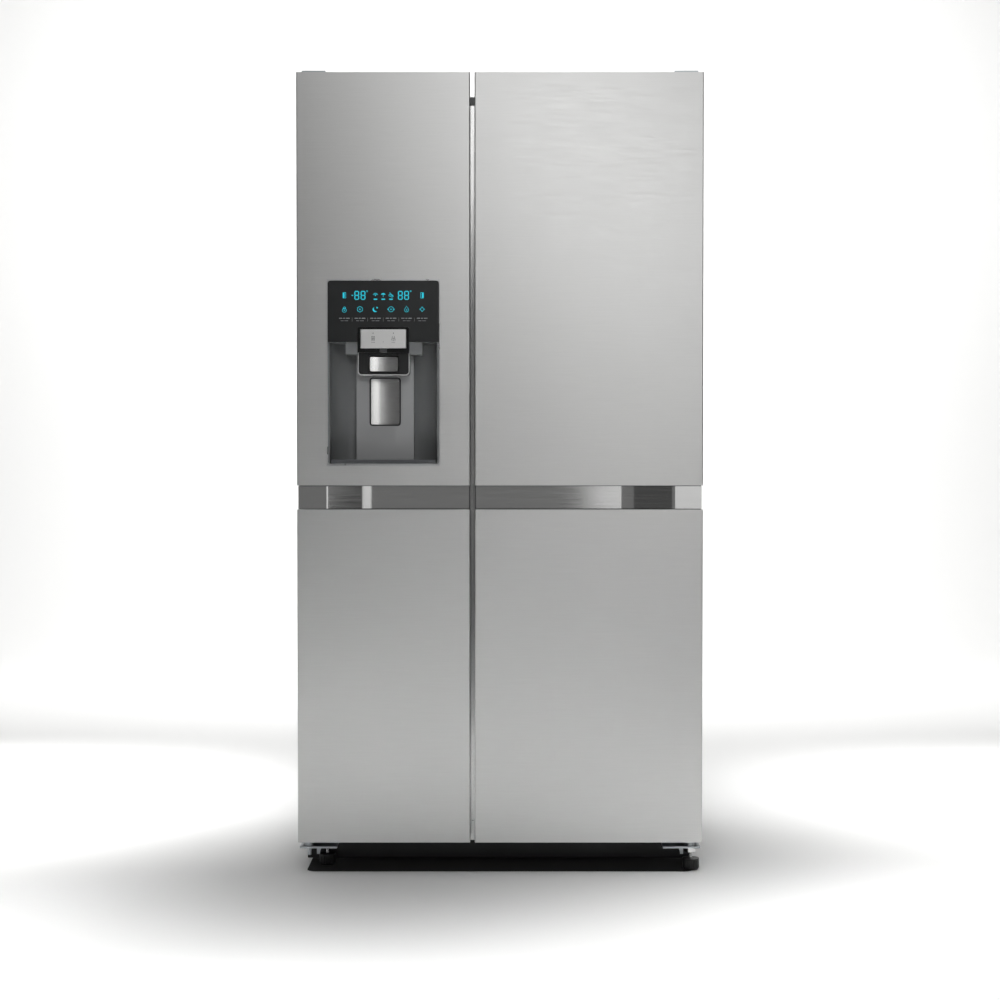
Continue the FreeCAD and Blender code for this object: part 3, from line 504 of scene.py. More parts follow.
NOTCH_CORNER = 0.003
selector_low, selector_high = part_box("selector_panel")
pane = block("control_glass", panel_low, panel_high)
round_off(pane, CORNER, Y, lambda middle: middle.z > panel_high.z - 0.001)
notch = block(
    "notch",
    (selector_low.x, panel_low.y - 0.01, panel_low.z - 0.01),
    (selector_high.x, panel_high.y + 0.01, selector_high.z),
)
round_off(notch, NOTCH_CORNER, Y)
carve(pane, notch)
soften(pane, 0.0005, 3)

black_glass, tree, surface = material("black_tinted_glass", "1b1d1e", 0.32)
smears = noise_over(tree, (14, 14, 22))
tint(tree, surface, "1b1d1e", 0.12, smears)
vary_gloss(tree, surface, 0.32, 0.04, smears)
settle(pane, black_glass, "left_door", "black_glass", "control_panel")

# ---------------------------------------------------------------------------
# Display: lit segments and signs behind the glass, and grey legends screen printed on it.
# The signs are plain shapes. Real ink is 0.02 mm thick; here each sign stands 0.15 mm off the glass.

INK = 0.00015
LINE = 0.0009
PITCH = 0.0342
DIGIT_WIDE = 0.0104
DIGIT_TALL = 0.0195
DIGIT_GAP = 0.0034
STROKE = 0.0021
glass_front = panel_low.y
panel_middle = (panel_low.x + panel_high.x) / 2
top_row = panel_high.z - 0.0322
lower_row = panel_high.z - 0.0627
legend_row = panel_high.z - 0.0825
note_row = panel_high.z - 0.0880


def column(number):
    """The middle of one of the six columns of signs, counted from the left, or a place between two."""
    return panel_middle + (number - 2.5) * PITCH


def sign(sides, radius, x, z, turn=0.0, line=None, sheet=glass_front):
    """A flat disc or polygon on the front of a sheet; with a line width it is a ring."""
    clear_selection()
    bpy.ops.mesh.primitive_circle_add(
        vertices=sides,
        radius=radius,
        fill_type="NGON",
        location=(x, sheet, z),
        rotation=(math.pi / 2, math.radians(turn), 0),
    )
    shape = bpy.context.object
    bpy.ops.object.transform_apply(location=True, rotation=True, scale=True)
    if line:
        pick(shape, "FACE", lambda face: True)
        bpy.ops.mesh.inset(thickness=line)
        bpy.ops.mesh.delete(type="FACE")
        bpy.ops.object.mode_set(mode="OBJECT")
    add_modifier(shape, "SOLIDIFY", thickness=INK, offset=1)
    return shape


def bar(x, z, wide, tall, lean=0.0, sheet=glass_front):
    """A flat bar on the front of a sheet, with bevelled ends, leant about its middle."""
    shape = block("bar", (x - wide / 2, sheet - INK, z - tall / 2), (x + wide / 2, sheet, z + tall / 2))
    round_off(shape, 0.45 * min(wide, tall), Y, segments=1)
    if lean:
        choose(shape)
        bpy.ops.object.mode_set(mode="EDIT")
        bpy.ops.mesh.select_all(action="SELECT")
        bpy.ops.transform.rotate(value=math.radians(lean), orient_axis="Y", center_override=(x, sheet, z))
        bpy.ops.object.mode_set(mode="OBJECT")
    return shape


def half(shape, z):
    """The part of a sign above a height."""
    pick(shape, "FACE", lambda face: True)
    bpy.ops.mesh.bisect(plane_co=(0, 0, z), plane_no=(0, 0, -1), clear_outer=True, use_fill=True)
    bpy.ops.object.mode_set(mode="OBJECT")
    return shape


def join(name, shapes):
    """One piece out of several."""
    clear_selection()
    for shape in shapes:
        shape.select_set(True)
    bpy.context.view_layer.objects.active = shapes[0]
    bpy.ops.object.join()
    shapes[0].name = shapes[0].data.name = name
    return shapes[0]


def frame_sign(x, z, wide, tall):
    """An upright oblong drawn with four strokes."""
    return [
        bar(x - wide / 2, z, LINE, tall + LINE),
        bar(x + wide / 2, z, LINE, tall + LINE),
        bar(x, z + tall / 2, wide, LINE),
        bar(x, z - tall / 2, wide, LINE),
    ]


def digit(x, z):
    """A figure 8 of seven pointed segments."""
    arm = DIGIT_WIDE - STROKE
    rise = DIGIT_TALL / 2 - STROKE / 2
    strokes = [bar(x, z + level * rise, arm - STROKE / 4, STROKE) for level in (-1, 0, 1)]
    for side in (-1, 1):
        for level in (-1, 1):
            strokes.append(bar(x + side * arm / 2, z + level * rise / 2, STROKE, rise - STROKE / 4))
    return strokes


lit = []
freezer_figures, fridge_figures = column(1), column(3.8)
for middle in (freezer_figures, fridge_figures):
    for side in (-1, 1):
        lit += digit(middle + side * (DIGIT_WIDE + DIGIT_GAP) / 2, top_row)
    lit.append(sign(16, 0.0017, middle + 0.0158, top_row + 0.0092, line=0.0008))
lit.append(bar(freezer_figures - 0.0165, top_row, 0.0042, STROKE))
# a door standing open, for each compartment
for place, side in ((column(0), -1), (column(5), 1)):
    lit += frame_sign(place, top_row, 0.0062, 0.0118)
    lit.append(bar(place + side * 0.0013, top_row, 0.0036, 0.0112))
# air in layers, an umbrella and a crossed pair of rings, each over a foot bar
for radius in (0.0056, 0.0036):
    lit.append(half(sign(24, radius, column(2), top_row - 0.0005, line=LINE), top_row + 0.001))
lit.append(sign(12, 0.0012, column(2), top_row - 0.0002))
lit.append(half(sign(24, 0.0056, panel_middle, top_row - 0.0006), top_row + 0.0016))
lit.append(bar(panel_middle, top_row - 0.001, LINE, 0.0055))
lit.append(sign(20, 0.0029, column(3) - 0.0022, top_row + 0.0002, line=LINE))
lit.append(sign(20, 0.0029, column(3) + 0.0022, top_row - 0.0016, line=LINE))
lit.append(bar(column(3) + 0.001, top_row + 0.0016, 0.0128, LINE, lean=-48))
for place in (column(2), panel_middle, column(3)):
    lit.append(bar(place, top_row - 0.0085, 0.0088, 0.0026))
# padlock, hexagon, moon, ring with a point on each side, drop and diamond
lit.append(sign(20, 0.0028, column(0), lower_row + 0.0027, line=LINE))
lit.append(sign(20, 0.0048, column(0), lower_row - 0.0022, line=LINE))
lit.append(sign(12, 0.0011, column(0), lower_row - 0.0022))
lit.append(sign(6, 0.0068, column(1), lower_row, line=LINE))
lit.append(sign(16, 0.0015, column(1), lower_row))
crescent = sign(28, 0.0056, column(2) - 0.0008, lower_row - 0.0006)
bite = sign(28, 0.0051, column(2) + 0.0022, lower_row + 0.0016)
add_modifier(bite, "SOLIDIFY", thickness=0.002, offset=0)
carve(crescent, bite)
lit.append(crescent)
lit.append(sign(12, 0.0018, column(2) + 0.0036, lower_row + 0.0034))
lit.append(sign(28, 0.0060, column(3), lower_row, line=LINE))
lit.append(sign(16, 0.0014, column(3), lower_row))
for side in (-1, 1):
    lit.append(sign(4, 0.0014, column(3) + side * 0.0068, lower_row))
drop = sign(24, 0.0048, column(4), lower_row - 0.0014, line=LINE)
pick(drop, "VERT", lambda vertex: vertex.co.z > lower_row + 0.0012)
bpy.ops.transform.resize(value=(0.35, 1, 1), center_override=(column(4), glass_front, lower_row))
bpy.ops.transform.translate(value=(0, 0, 0.0036))
bpy.ops.object.mode_set(mode="OBJECT")
lit.append(drop)
lit.append(sign(12, 0.0012, column(4), lower_row - 0.0016))
lit.append(sign(4, 0.0052, column(5), lower_row, line=LINE))
for turn in range(4):
    angle = turn * math.pi / 2
    lit.append(sign(8, 0.0009, column(5) + 0.0048 * math.cos(angle), lower_row + 0.0048 * math.sin(angle)))
figures = join("display_figures", lit)

cyan_light, tree, surface = material("cyan_backlit_film", "0a3a40", 0.4)
surface.inputs["Emission Color"].default_value = to_linear("22cbe0")
surface.inputs["Emission Strength"].default_value = 0.95
vary_gloss(tree, surface, 0.4, 0.08, noise_over(tree, (300, 300, 300)))
settle(figures, cyan_light, "left_door", "black_glass")

# each legend is a broken line over a shorter one, with a thin upright between neighbours
LEGEND_DASHES = (0.0078, 0.0050, 0.0086)
NOTE_DASHES = (0.0070, 0.0086)
DASH_GAP = 0.0014
printed = []
for number in range(6):
    for row, dashes, tall in ((legend_row, LEGEND_DASHES, 0.0020), (note_row, NOTE_DASHES, 0.0010)):
        length = sum(dashes) + DASH_GAP * (len(dashes) - 1)
        start = column(number) - length / 2
        for dash in dashes:
            printed.append(bar(start + dash / 2, row, dash, tall))
            start += dash + DASH_GAP
for number in range(5):
    printed.append(bar(column(number + 0.5), (legend_row + note_row) / 2, 0.0005, 0.0085))
legends = join("display_legends", printed)
grey_ink = moulded("grey_screen_ink", "a3a6a8", 0.6, grain=0.0003)
settle(legends, grey_ink, "left_door", "black_glass")

# ---------------------------------------------------------------------------
# Selector: a satin silver key plate, slightly rolled at its sides, in a black gloss surround.
# Two spots and two small signs for ice and water are printed on it; the keys sense touch and don't move.

PLATE_MARGIN = 0.0057
PLATE_SILL = 0.0094
PLATE_RAISED = 0.0006
PLATE_SUNK = 0.001
PLATE_FRONT = selector_low.y + 0.0002
SURROUND_FRONT = selector_low.y + 0.0026

surround = block(
    "selector_surround",
    (selector_low.x, SURROUND_FRONT, selector_low.z),
    (selector_high.x, selector_high.y, selector_high.z),
)
round_off(surround, NOTCH_CORNER, Y, lambda middle: middle.z > selector_high.z - 0.001)
soften(surround, 0.0006)
black_gloss = moulded("black_gloss_abs", "141516", 0.16, grain=0.02, depth=0.00002, coat=0.3)
settle(surround, black_gloss, "left_door", "black_gloss", "selector_panel")

plate_low = Vector((selector_low.x + PLATE_MARGIN, PLATE_FRONT, selector_low.z + PLATE_SILL))
plate_top = selector_high.z - PLATE_MARGIN + PLATE_RAISED
plate_high = Vector((selector_high.x - PLATE_MARGIN, SURROUND_FRONT + PLATE_SUNK, plate_top))
plate = block("selector_plate", plate_low, plate_high)
round_off(plate, 0.0026, Z, lambda middle: middle.y < PLATE_FRONT + 0.0005)
soften(plate, 0.0006, 3)
plate_steel = brushed_steel("satin_silver_key_plate", "e2e2e1", 0.38, contrast=0.02)
settle(plate, plate_steel, "left_door", "satin_silver")

inked = []
KEY_HALF = 0.0224
plate_middle = (plate_low.x + plate_high.x) / 2
spot_row, glyph_row, dash_row = plate_high.z - 0.0085, plate_high.z - 0.0200, plate_high.z - 0.0286
for side in (-1, 1):
    middle = plate_middle + side * KEY_HALF
    inked.append(sign(14, 0.0011, middle, spot_row, sheet=PLATE_FRONT))
    for number in (-1, 0, 1):
        inked.append(bar(middle + number * 0.0028, dash_row, 0.0022, LINE, sheet=PLATE_FRONT))
for across in (-1, 1):
    for up in (-1, 0, 1):
        place = plate_middle - KEY_HALF + across * 0.0021
        inked.append(sign(4, 0.0017, place, glyph_row + up * 0.0034, turn=45, sheet=PLATE_FRONT))
glass_sign = plate_middle + KEY_HALF
for side in (-1, 1):
    place = glass_sign + side * 0.0030
    inked.append(bar(place, glyph_row, LINE, 0.0092, lean=side * 12, sheet=PLATE_FRONT))
inked.append(bar(glass_sign, glyph_row - 0.0044, 0.0046, LINE, sheet=PLATE_FRONT))
inked.append(sign(12, 0.0016, glass_sign, glyph_row - 0.0008, line=0.0007, sheet=PLATE_FRONT))
inked.append(sign(10, 0.0007, plate_middle, dash_row + 0.001, sheet=PLATE_FRONT))
marks = join("selector_marks", inked)
dark_ink = moulded("dark_pad_printed_ink", "4a4b4c", 0.6, grain=0.0003)
settle(marks, dark_ink, "left_door", "satin_silver")

# ---------------------------------------------------------------------------
# Spout: a black gloss ABS block under the selector with a shaft for ice, edged by a plated wire
# that runs down one side, round both lower corners and up the other.

SPOUT_CORNER = 0.009
EDGING = 0.0015
WINDOW_MARGIN = 0.0026
WINDOW_RISE = 0.0036
spout_low, spout_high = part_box("spout_housing")
ice_low, ice_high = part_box("ice_paddle")


def lower(piece_low):
    """A test for edges at a piece's lower end."""
    return lambda middle: middle.z < piece_low + 0.001


spout = block("spout_shell", spout_low, spout_high)
round_off(spout, SPOUT_CORNER, Y, lower(spout_low.z), segments=8)
window = block(
    "window",
    (ice_low.x - WINDOW_MARGIN, spout_low.y - 0.01, ice_low.z - WINDOW_RISE),
    (ice_high.x + WINDOW_MARGIN, spout_low.y + 0.016, ice_high.z + WINDOW_RISE),
)
round_off(window, 0.005, Y)
shaft = block(
    "shaft",
    (ice_low.x + 0.0024, spout_low.y + 0.015, spout_low.z - 0.01),
    (ice_high.x - 0.0034, spout_high.y - 0.001, spout_high.z + 0.01),
)
round_off(shaft, 0.008, Z)
carve(spout, window, shaft)
soften(spout, 0.0006)
spout_black = moulded("black_abs_spout", "1d1e1f", 0.3, grain=0.0006, depth=0.00001)
settle(spout, spout_black, "left_door", "black_gloss", "spout_housing")

edging = block(
    "spout_edging",
    (spout_low.x - 0.0003, spout_low.y - 0.0008, spout_low.z - 0.0003),
    (spout_high.x + 0.0003, spout_low.y + 0.004, selector_low.z - 0.0002),
)
round_off(edging, SPOUT_CORNER, Y, lower(spout_low.z), segments=8)
inside = block(
    "inside",
    (spout_low.x + EDGING, spout_low.y - 0.01, spout_low.z + EDGING),
    (spout_high.x - EDGING, spout_low.y + 0.01, spout_high.z + 0.01),
)
round_off(inside, SPOUT_CORNER - EDGING, Y, lower(spout_low.z + EDGING), segments=8)
carve(edging, inside)
soften(edging, 0.0005)


def bare_metal(name, colour, roughness, streak=0.004):
    """Plated or polished metal with faint wipe marks in its gloss."""
    made, tree, surface = material(name, colour, roughness, metallic=1.0)
    wipes = noise_over(tree, (1 / streak, 1 / streak, 0.3 / streak))
    tint(tree, surface, colour, 0.03, wipes)
    vary_gloss(tree, surface, roughness, 0.03, wipes)
    return made


satin_chrome = moulded("satin_chrome_plated_edging", "ececec", 0.42, grain=0.0005, metallic=1.0)
settle(edging, satin_chrome, "left_door", "satin_silver")

# the water nozzle shows as a small grey block between the plate and the spout
NOZZLE_HALF = 0.0078
nozzle = block(
    "water_nozzle",
    (plate_middle - NOZZLE_HALF, SURROUND_FRONT - 0.0012, selector_low.z + 0.0006),
    (plate_middle + NOZZLE_HALF, SURROUND_FRONT + 0.004, plate_low.z - 0.0014),
)
round_off(nozzle, 0.0018, Y, lower(selector_low.z))
soften(nozzle, 0.0005)
nozzle_grey = moulded("dark_grey_acetal_nozzle", "3d3e3f", 0.35)
settle(nozzle, nozzle_grey, "left_door", "recess_grey")

# ---------------------------------------------------------------------------
# Paddles: pressed stainless plates, hollowed to take the side of a glass and polished.
# The upper one works the ice and the lower one the water. The lower sits in a black lip.

HOLLOW_RADIUS = 0.14
PRESSING = 0.0014
PADDLE_CORNER = 0.004
HOLLOW_STEPS = 24
LIP_OUTER = 0.0030
LIP_INNER = 0.0008
LIP_DEPTH = 0.0032


def paddle(name, node):
    """A plate bent about an upright line in front of it, as wide and tall as the CAD paddle."""
    low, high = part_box(node)
    middle, half_width = (low.x + high.x) / 2, (high.x - low.x) / 2
    reach = math.asin(half_width / HOLLOW_RADIUS)
    pivot = low.y + PRESSING / 2 - HOLLOW_RADIUS * math.cos(reach)
    clear_selection()
    bpy.ops.mesh.primitive_plane_add(
        size=1,
        location=(low.x, low.y + PRESSING / 2, (low.z + high.z) / 2),
        rotation=(0, math.pi / 2, 0),
    )
    piece = bpy.context.object
    piece.name = piece.data.name = name
    piece.scale = (high.z - low.z, PRESSING, 1)
    bpy.ops.object.transform_apply(location=True, rotation=True, scale=True)
    pick(piece, "FACE", lambda face: True)
    bpy.ops.mesh.spin(
        steps=HOLLOW_STEPS, angle=2 * reach, center=(middle, pivot, 0), axis=(0, 0, 1), use_auto_merge=False
    )
    bpy.ops.mesh.select_all(action="SELECT")
    bpy.ops.mesh.normals_make_consistent(inside=False)
    bpy.ops.object.mode_set(mode="OBJECT")
    ends = (low.x + 0.001, high.x - 0.001)
    pick(
        piece,
        "EDGE",
        lambda edge: all(
            not ends[0] < piece.data.vertices[i].co.x < ends[1]
            and abs(piece.data.vertices[i].co.z - piece.data.vertices[edge.vertices[0]].co.z) < 1e-6
            for i in edge.vertices
        ),
    )
    bpy.ops.mesh.bevel(offset=PADDLE_CORNER, segments=4, affect="EDGES")
    bpy.ops.object.mode_set(mode="OBJECT")
    soften(piece, 0.0004)
    settle(piece, paddle_steel, nodes[node]["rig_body"], slot_of[node], node)


def around(name, low, high, margin, depth):
    """A block round a paddle's outline, larger by a margin, that reaches both ways from its front."""
    piece = block(
        name,
        (low.x - margin, low.y - depth, low.z - margin),
        (high.x + margin, low.y + depth, high.z + margin),
    )
    round_off(piece, PADDLE_CORNER + margin, Y)
    return piece


paddle_steel, tree, surface = material("polished_stainless_paddle", "dededd", 0.24, metallic=1.0)
surface.inputs["Anisotropic"].default_value = 0.7
surface.inputs["Anisotropic Rotation"].default_value = 0.25
wipes = noise_over(tree, (14, 14, 160))
tint(tree, surface, "dededd", 0.02, wipes)
vary_gloss(tree, surface, 0.24, 0.02, wipes)
lip_black = moulded("black_tpe_lip", "0b0b0c", 0.5)
paddle("ice_paddle_plate", "ice_paddle")
paddle("water_paddle_plate", "water_paddle")
lip = around("water_paddle_lip", water_low, water_high, LIP_OUTER, LIP_DEPTH)
carve(lip, around("hollow", water_low, water_high, LIP_INNER, 1))
soften(lip, 0.0003)
settle(lip, lip_black, "left_door", "black_gloss")

# ---------------------------------------------------------------------------
# Drip tray and ice flap: grey ABS mouldings. The tray is a slotted plate that lifts out of the recess,
# and the flap closes the ice chute.

tray_grey = moulded("grey_abs_tray", "55575a", 0.4)
recast("drip_tray", "drip_tray_moulding", tray_grey, 0.0006)
recast("ice_flap", "ice_flap_moulding", tray_grey, 0.0005)

# ---------------------------------------------------------------------------
# Cabinet: prepainted steel folded over the sides and roof, a satin steel mullion between the doors,
# and galvanised sheet at the back and underneath. The paint has the faint orange peel of a coil coat.

shell_paint = moulded("grey_coil_coated_steel", "9b9d9e", 0.34, grain=0.0022, depth=0.00002, coat=0.15)
dress(shell_paint, "cabinet_wrapper")
mullion_steel = brushed_steel("satin_steel_mullion", "d4d4d3", 0.22, contrast=0.02, upright=True)
dress(mullion_steel, "centre_mullion")

SPANGLE = 0.009
galvanised, tree, surface = material("galvanised_steel_sheet", "aeb3b6", 0.4, metallic=1.0)
place = put(tree, "ShaderNodeTexCoord")
crystals = put(
    tree, "ShaderNodeTexVoronoi", {"Scale": 1 / SPANGLE}, {"Vector": place.outputs["Object"]}
)
facets = put(tree, "ShaderNodeSeparateColor", {}, {"Color": crystals.outputs["Color"]})
tint(tree, surface, "aeb3b6", 0.10, facets.outputs["Red"])
vary_gloss(tree, surface, 0.4, 0.08, facets.outputs["Green"])
emboss(tree, surface, 0.2, 0.0001, noise_over(tree, (40, 40, 40)))
dress(galvanised, "rear_panel", "base_plate", "machine_cover")

foam = moulded("rigid_polyurethane_foam", "d8c48c", 0.9, grain=0.0012, depth=0.0003)
dress(foam, "insulation_foam")

trim_grey = moulded("light_grey_abs_trim", "b9bbbc", 0.4)
recast("top_cover", "top_cover_moulding", trim_grey, 0.0025)
recast("hinge_covers", "hinge_cover_mouldings", trim_grey, 0.004, 4)

# the covers over the hinges are each held by one pan head screw
SCREW_RADIUS = 0.0045
SCREW_SEAT = 0.0021
SCREW_INSET = 0.033
SCREW_BACK = 0.02
hinge_low, hinge_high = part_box("hinge_covers")
screw_steel = bare_metal("nickel_plated_screw", "d5d6d6", 0.16, streak=0.002)


def pan_screw(name, x, y, z, facing_back=False):
    """A pan head with a cross recess, its flat underside at the place, pointing up or towards the back."""
    turn = (-math.pi / 2, 0, 0) if facing_back else (0, 0, 0)
    clear_selection()
    bpy.ops.mesh.primitive_cylinder_add(vertices=24, radius=SCREW_RADIUS, depth=0.002, location=(0, 0, 0.001))
    head = bpy.context.object
    head.name = head.data.name = name
    bpy.ops.object.transform_apply(location=True, rotation=True, scale=True)
    for wide, deep in ((0.0052, 0.0011), (0.0011, 0.0052)):
        cutter = block("cross", (-wide / 2, -deep / 2, 0.0009), (wide / 2, deep / 2, 0.003))
        carve(head, cutter)
    soften(head, 0.0005)
    choose(head)
    head.location, head.rotation_euler = (x, y, z), turn
    bpy.ops.object.transform_apply(location=True, rotation=True, scale=True)
    return head


screws = []
for number, x in enumerate((hinge_low.x + SCREW_INSET, hinge_high.x - SCREW_INSET)):
    screw = pan_screw(f"screw_{number}", x, hinge_high.y - SCREW_BACK, cad_high.z - SCREW_SEAT)
    screws.append(screw)

# ---------------------------------------------------------------------------
# Plinth beam, hinges and fixings: black painted beam, its black partly painted shade, zinc plated brackets,
# nickel plated fasteners.

# the beam's black is partly painted shade, dark enough to pass for the shadow under the cabinet under any
# light
beam_black_and_painted_shade = moulded("black_steel_beam_and_painted_shade", "1b1c1d", 0.45, grain=0.0015)
recast("toe_beam", "toe_beam_folded", beam_black_and_painted_shade, 0.0015)
zinc = bare_metal("bright_zinc_plate", "b4b8bc", 0.36, streak=0.006)
for side in ("left", "right"):
    recast(f"top_hinge_{side}", f"top_hinge_{side}_pressing", zinc, 0.0005)
    recast(f"bottom_hinge_{side}", f"bottom_hinge_{side}_pressing", zinc, 0.0005)
bright = bare_metal("bright_nickel_fasteners", "e6e6e6", 0.09, streak=0.002)
dress(bright, "bracket_screws")
recast("foot_lock_nuts", "foot_lock_nuts_chamfered", bright, 0.0008)

# ---------------------------------------------------------------------------
# Levelling feet: a ribbed black nylon knob moulded on a rolled, nickel plated thread.

KNOB_TOP = 0.025
THREAD_PITCH = 0.0015
THREAD_CORE = 0.84
STUD_RADIUS = 0.004
knob_black = moulded("black_nylon_knob", "131314", 0.45, grain=0.0005)
for side in ("left", "right"):
    low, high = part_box(f"foot_{side}")
    centre = (low + high) / 2
    knob = recast(f"foot_{side}", f"foot_{side}_knob", knob_black, 0.0004, 2)
    pick(knob, "FACE", lambda face: True)
    bpy.ops.mesh.bisect(
        plane_co=(0, 0, KNOB_TOP + 0.0002), plane_no=(0, 0, 1), clear_outer=True, use_fill=True
    )
    bpy.ops.object.mode_set(mode="OBJECT")
    clear_selection()
    bpy.ops.mesh.primitive_cylinder_add(
        vertices=20,
        radius=STUD_RADIUS,
        depth=high.z - KNOB_TOP,
        location=(centre.x, centre.y, (high.z + KNOB_TOP) / 2),
    )
    stud = bpy.context.object
    stud.name = stud.data.name = f"foot_{side}_thread"
    bpy.ops.object.transform_apply(location=True, rotation=True, scale=True)
    rings = 2 * round((high.z - KNOB_TOP) / THREAD_PITCH)
    pick(stud, "EDGE", edge_along(stud, Z))
    bpy.ops.mesh.subdivide(number_cuts=rings - 1)
    bpy.ops.object.mode_set(mode="OBJECT")
    spacing = (high.z - KNOB_TOP) / rings
    pick(stud, "VERT", lambda vertex: round((vertex.co.z - KNOB_TOP) / spacing) % 2 == 0)
    bpy.ops.transform.resize(value=(THREAD_CORE, THREAD_CORE, 1), center_override=(centre.x, centre.y, 0))
    bpy.ops.object.mode_set(mode="OBJECT")
    bpy.ops.object.shade_smooth_by_angle(angle=math.radians(20))
    settle(stud, bright, f"foot_{side}", "bright_fastener")

white_nylon = moulded("white_nylon_roller", "cfcfca", 0.4)
for side in ("left", "right"):
    recast(f"roller_{side}", f"roller_{side}_tyre", white_nylon, 0.0015)

# ---------------------------------------------------------------------------
# Compartments: white polystyrene liners, vacuum formed, so their gloss drifts and their corners are soft.
# The duct covers and the ice maker are moulded in the same white.

liner_white = moulded("white_vacuum_formed_polystyrene", "f0f1ef", 0.32, grain=0.004, depth=0.00003)
LINERS = {
    "freezer_liner": 0.0009,
    "fridge_liner": 0.0009,
    "left_door_liner": 0.0009,
    "right_door_liner": 0.0009,
    "freezer_duct_cover": 0.0012,
    "fridge_duct_cover": 0.0012,
    "ice_maker": 0.003,
}
for node, width in LINERS.items():
    recast(node, f"{node}_formed", liner_white, width)

# ---------------------------------------------------------------------------
# Door seals: soft grey PVC bellows over a magnetic strip, pressed into the door liner.
# Fine ribs run round each seal and it has no shine.

seal_grey, tree, surface = material("grey_pvc_bellows_seal", "8b8d8e", 0.6)
place = put(tree, "ShaderNodeTexCoord")
ribs = put(
    tree,
    "ShaderNodeTexWave",
    {"bands_direction": "Y", "Scale": 100.0, "Distortion": 0.4},
    {"Vector": place.outputs["Object"]},
)
tint(tree, surface, "8b8d8e", 0.05, noise_over(tree, (20, 20, 20)))
emboss(tree, surface, 0.6, 0.0004, ribs.outputs["Fac"])
for side in ("left", "right"):
    recast(f"{side}_gasket", f"{side}_seal_bellows", seal_grey, 0.002)

# ---------------------------------------------------------------------------
# Shelves: tempered soda-lime glass, greenish at its edges, with a grey trim clipped on the front
# and a low rail along the back that stops food from sliding off.

TRIM_OVER = 0.0015
TRIM_REACH = 0.012
RAIL_TALL = 0.012
shelf_glass, tree, surface = material("tempered_soda_lime_glass", "e4f1ec", 0.02)
surface.inputs["Transmission Weight"].default_value = 1.0
surface.inputs["IOR"].default_value = 1.52
smears = noise_over(tree, (12, 12, 12))
tint(tree, surface, "e4f1ec", 0.02, smears)
vary_gloss(tree, surface, 0.03, 0.01, smears)
dress(shelf_glass, "freezer_shelves", "fridge_shelves")
for node in ("freezer_shelves", "fridge_shelves"):
    low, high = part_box(node)
    levels = sorted({round(vertex.co.z, 4) for vertex in nodes[node].data.vertices})
    trims = []
    for bottom, top in zip(levels[::2], levels[1::2]):
        front_trim = block(
            "front_trim",
            (low.x + 0.002, low.y - TRIM_OVER, bottom - TRIM_OVER),
            (high.x - 0.002, low.y + TRIM_REACH, top + TRIM_OVER),
        )
        soften(front_trim, 0.0014, 3)
        back_rail = block(
            "back_rail",
            (low.x + 0.002, high.y - 0.006, top),
            (high.x - 0.002, high.y - TRIM_OVER, top + RAIL_TALL),
        )
        soften(back_rail, 0.0014, 3)
        trims += [front_trim, back_rail]
    settle(join(f"{node}_trims", trims), trim_grey, "cabinet", "grey_trim")

# ---------------------------------------------------------------------------
# Drawers, door bins and ice bucket: clear polystyrene, injection moulded, with rounded rims.
# Drawers have a grey grip along the top of the front, and bins a grey band.

clear_plastic, tree, surface = material("clear_polystyrene", "eef3f5", 0.06)
surface.inputs["Transmission Weight"].default_value = 0.92
surface.inputs["IOR"].default_value = 1.59
flow = noise_over(tree, (30, 30, 9))
tint(tree, surface, "eef3f5", 0.02, flow)
vary_gloss(tree, surface, 0.07, 0.03, flow)
emboss(tree, surface, 0.15, 0.0003, flow)

GRIP_TALL = 0.034
GRIP_PROUD = 0.004
for node in ("freezer_drawer_upper", "freezer_drawer_lower", "crisper_upper", "crisper_lower", "ice_bucket"):
    low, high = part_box(node)
    body = nodes[node]["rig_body"]
    recast(node, f"{node}_moulding", clear_plastic, 0.0011)
    grip = block(
        f"{node}_grip",
        (low.x + 0.004, low.y - GRIP_PROUD, high.z - GRIP_TALL),
        (high.x - 0.004, low.y + 0.0004, high.z - 0.001),
    )
    hollow = block(
        "hollow",
        (low.x + 0.07, low.y - 0.01, high.z - GRIP_TALL - 0.01),
        (high.x - 0.07, low.y - 0.0012, high.z - 0.011),
    )
    carve(grip, hollow)
    soften(grip, 0.0011, 3)
    settle(grip, trim_grey, body, "grey_trim")

BIN_BAND = 0.022
BIN_TALL = 0.085
for side in ("left", "right"):
    node = f"{side}_door_bins"
    low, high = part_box(node)
    recast(node, f"{node}_moulding", clear_plastic, 0.0011)
    levels = sorted({round(vertex.co.z, 4) for vertex in nodes[node].data.vertices})
    bands = []
    for bottom in levels:
        rim = round(bottom + BIN_TALL, 4)
        if rim in levels:
            band = block(
                "band",
                (low.x + 0.003, high.y - 0.0004, rim - BIN_BAND),
                (high.x - 0.003, high.y + 0.002, rim - 0.001),
            )
            soften(band, 0.0008, 3)
            bands.append(band)
    settle(join(f"{node}_bands", bands), trim_grey, f"{side}_door", "grey_trim")

# ---------------------------------------------------------------------------
# Lamps: a frosted acrylic cover that glows in the roof of each compartment.
# The diodes behind it aren't modelled.

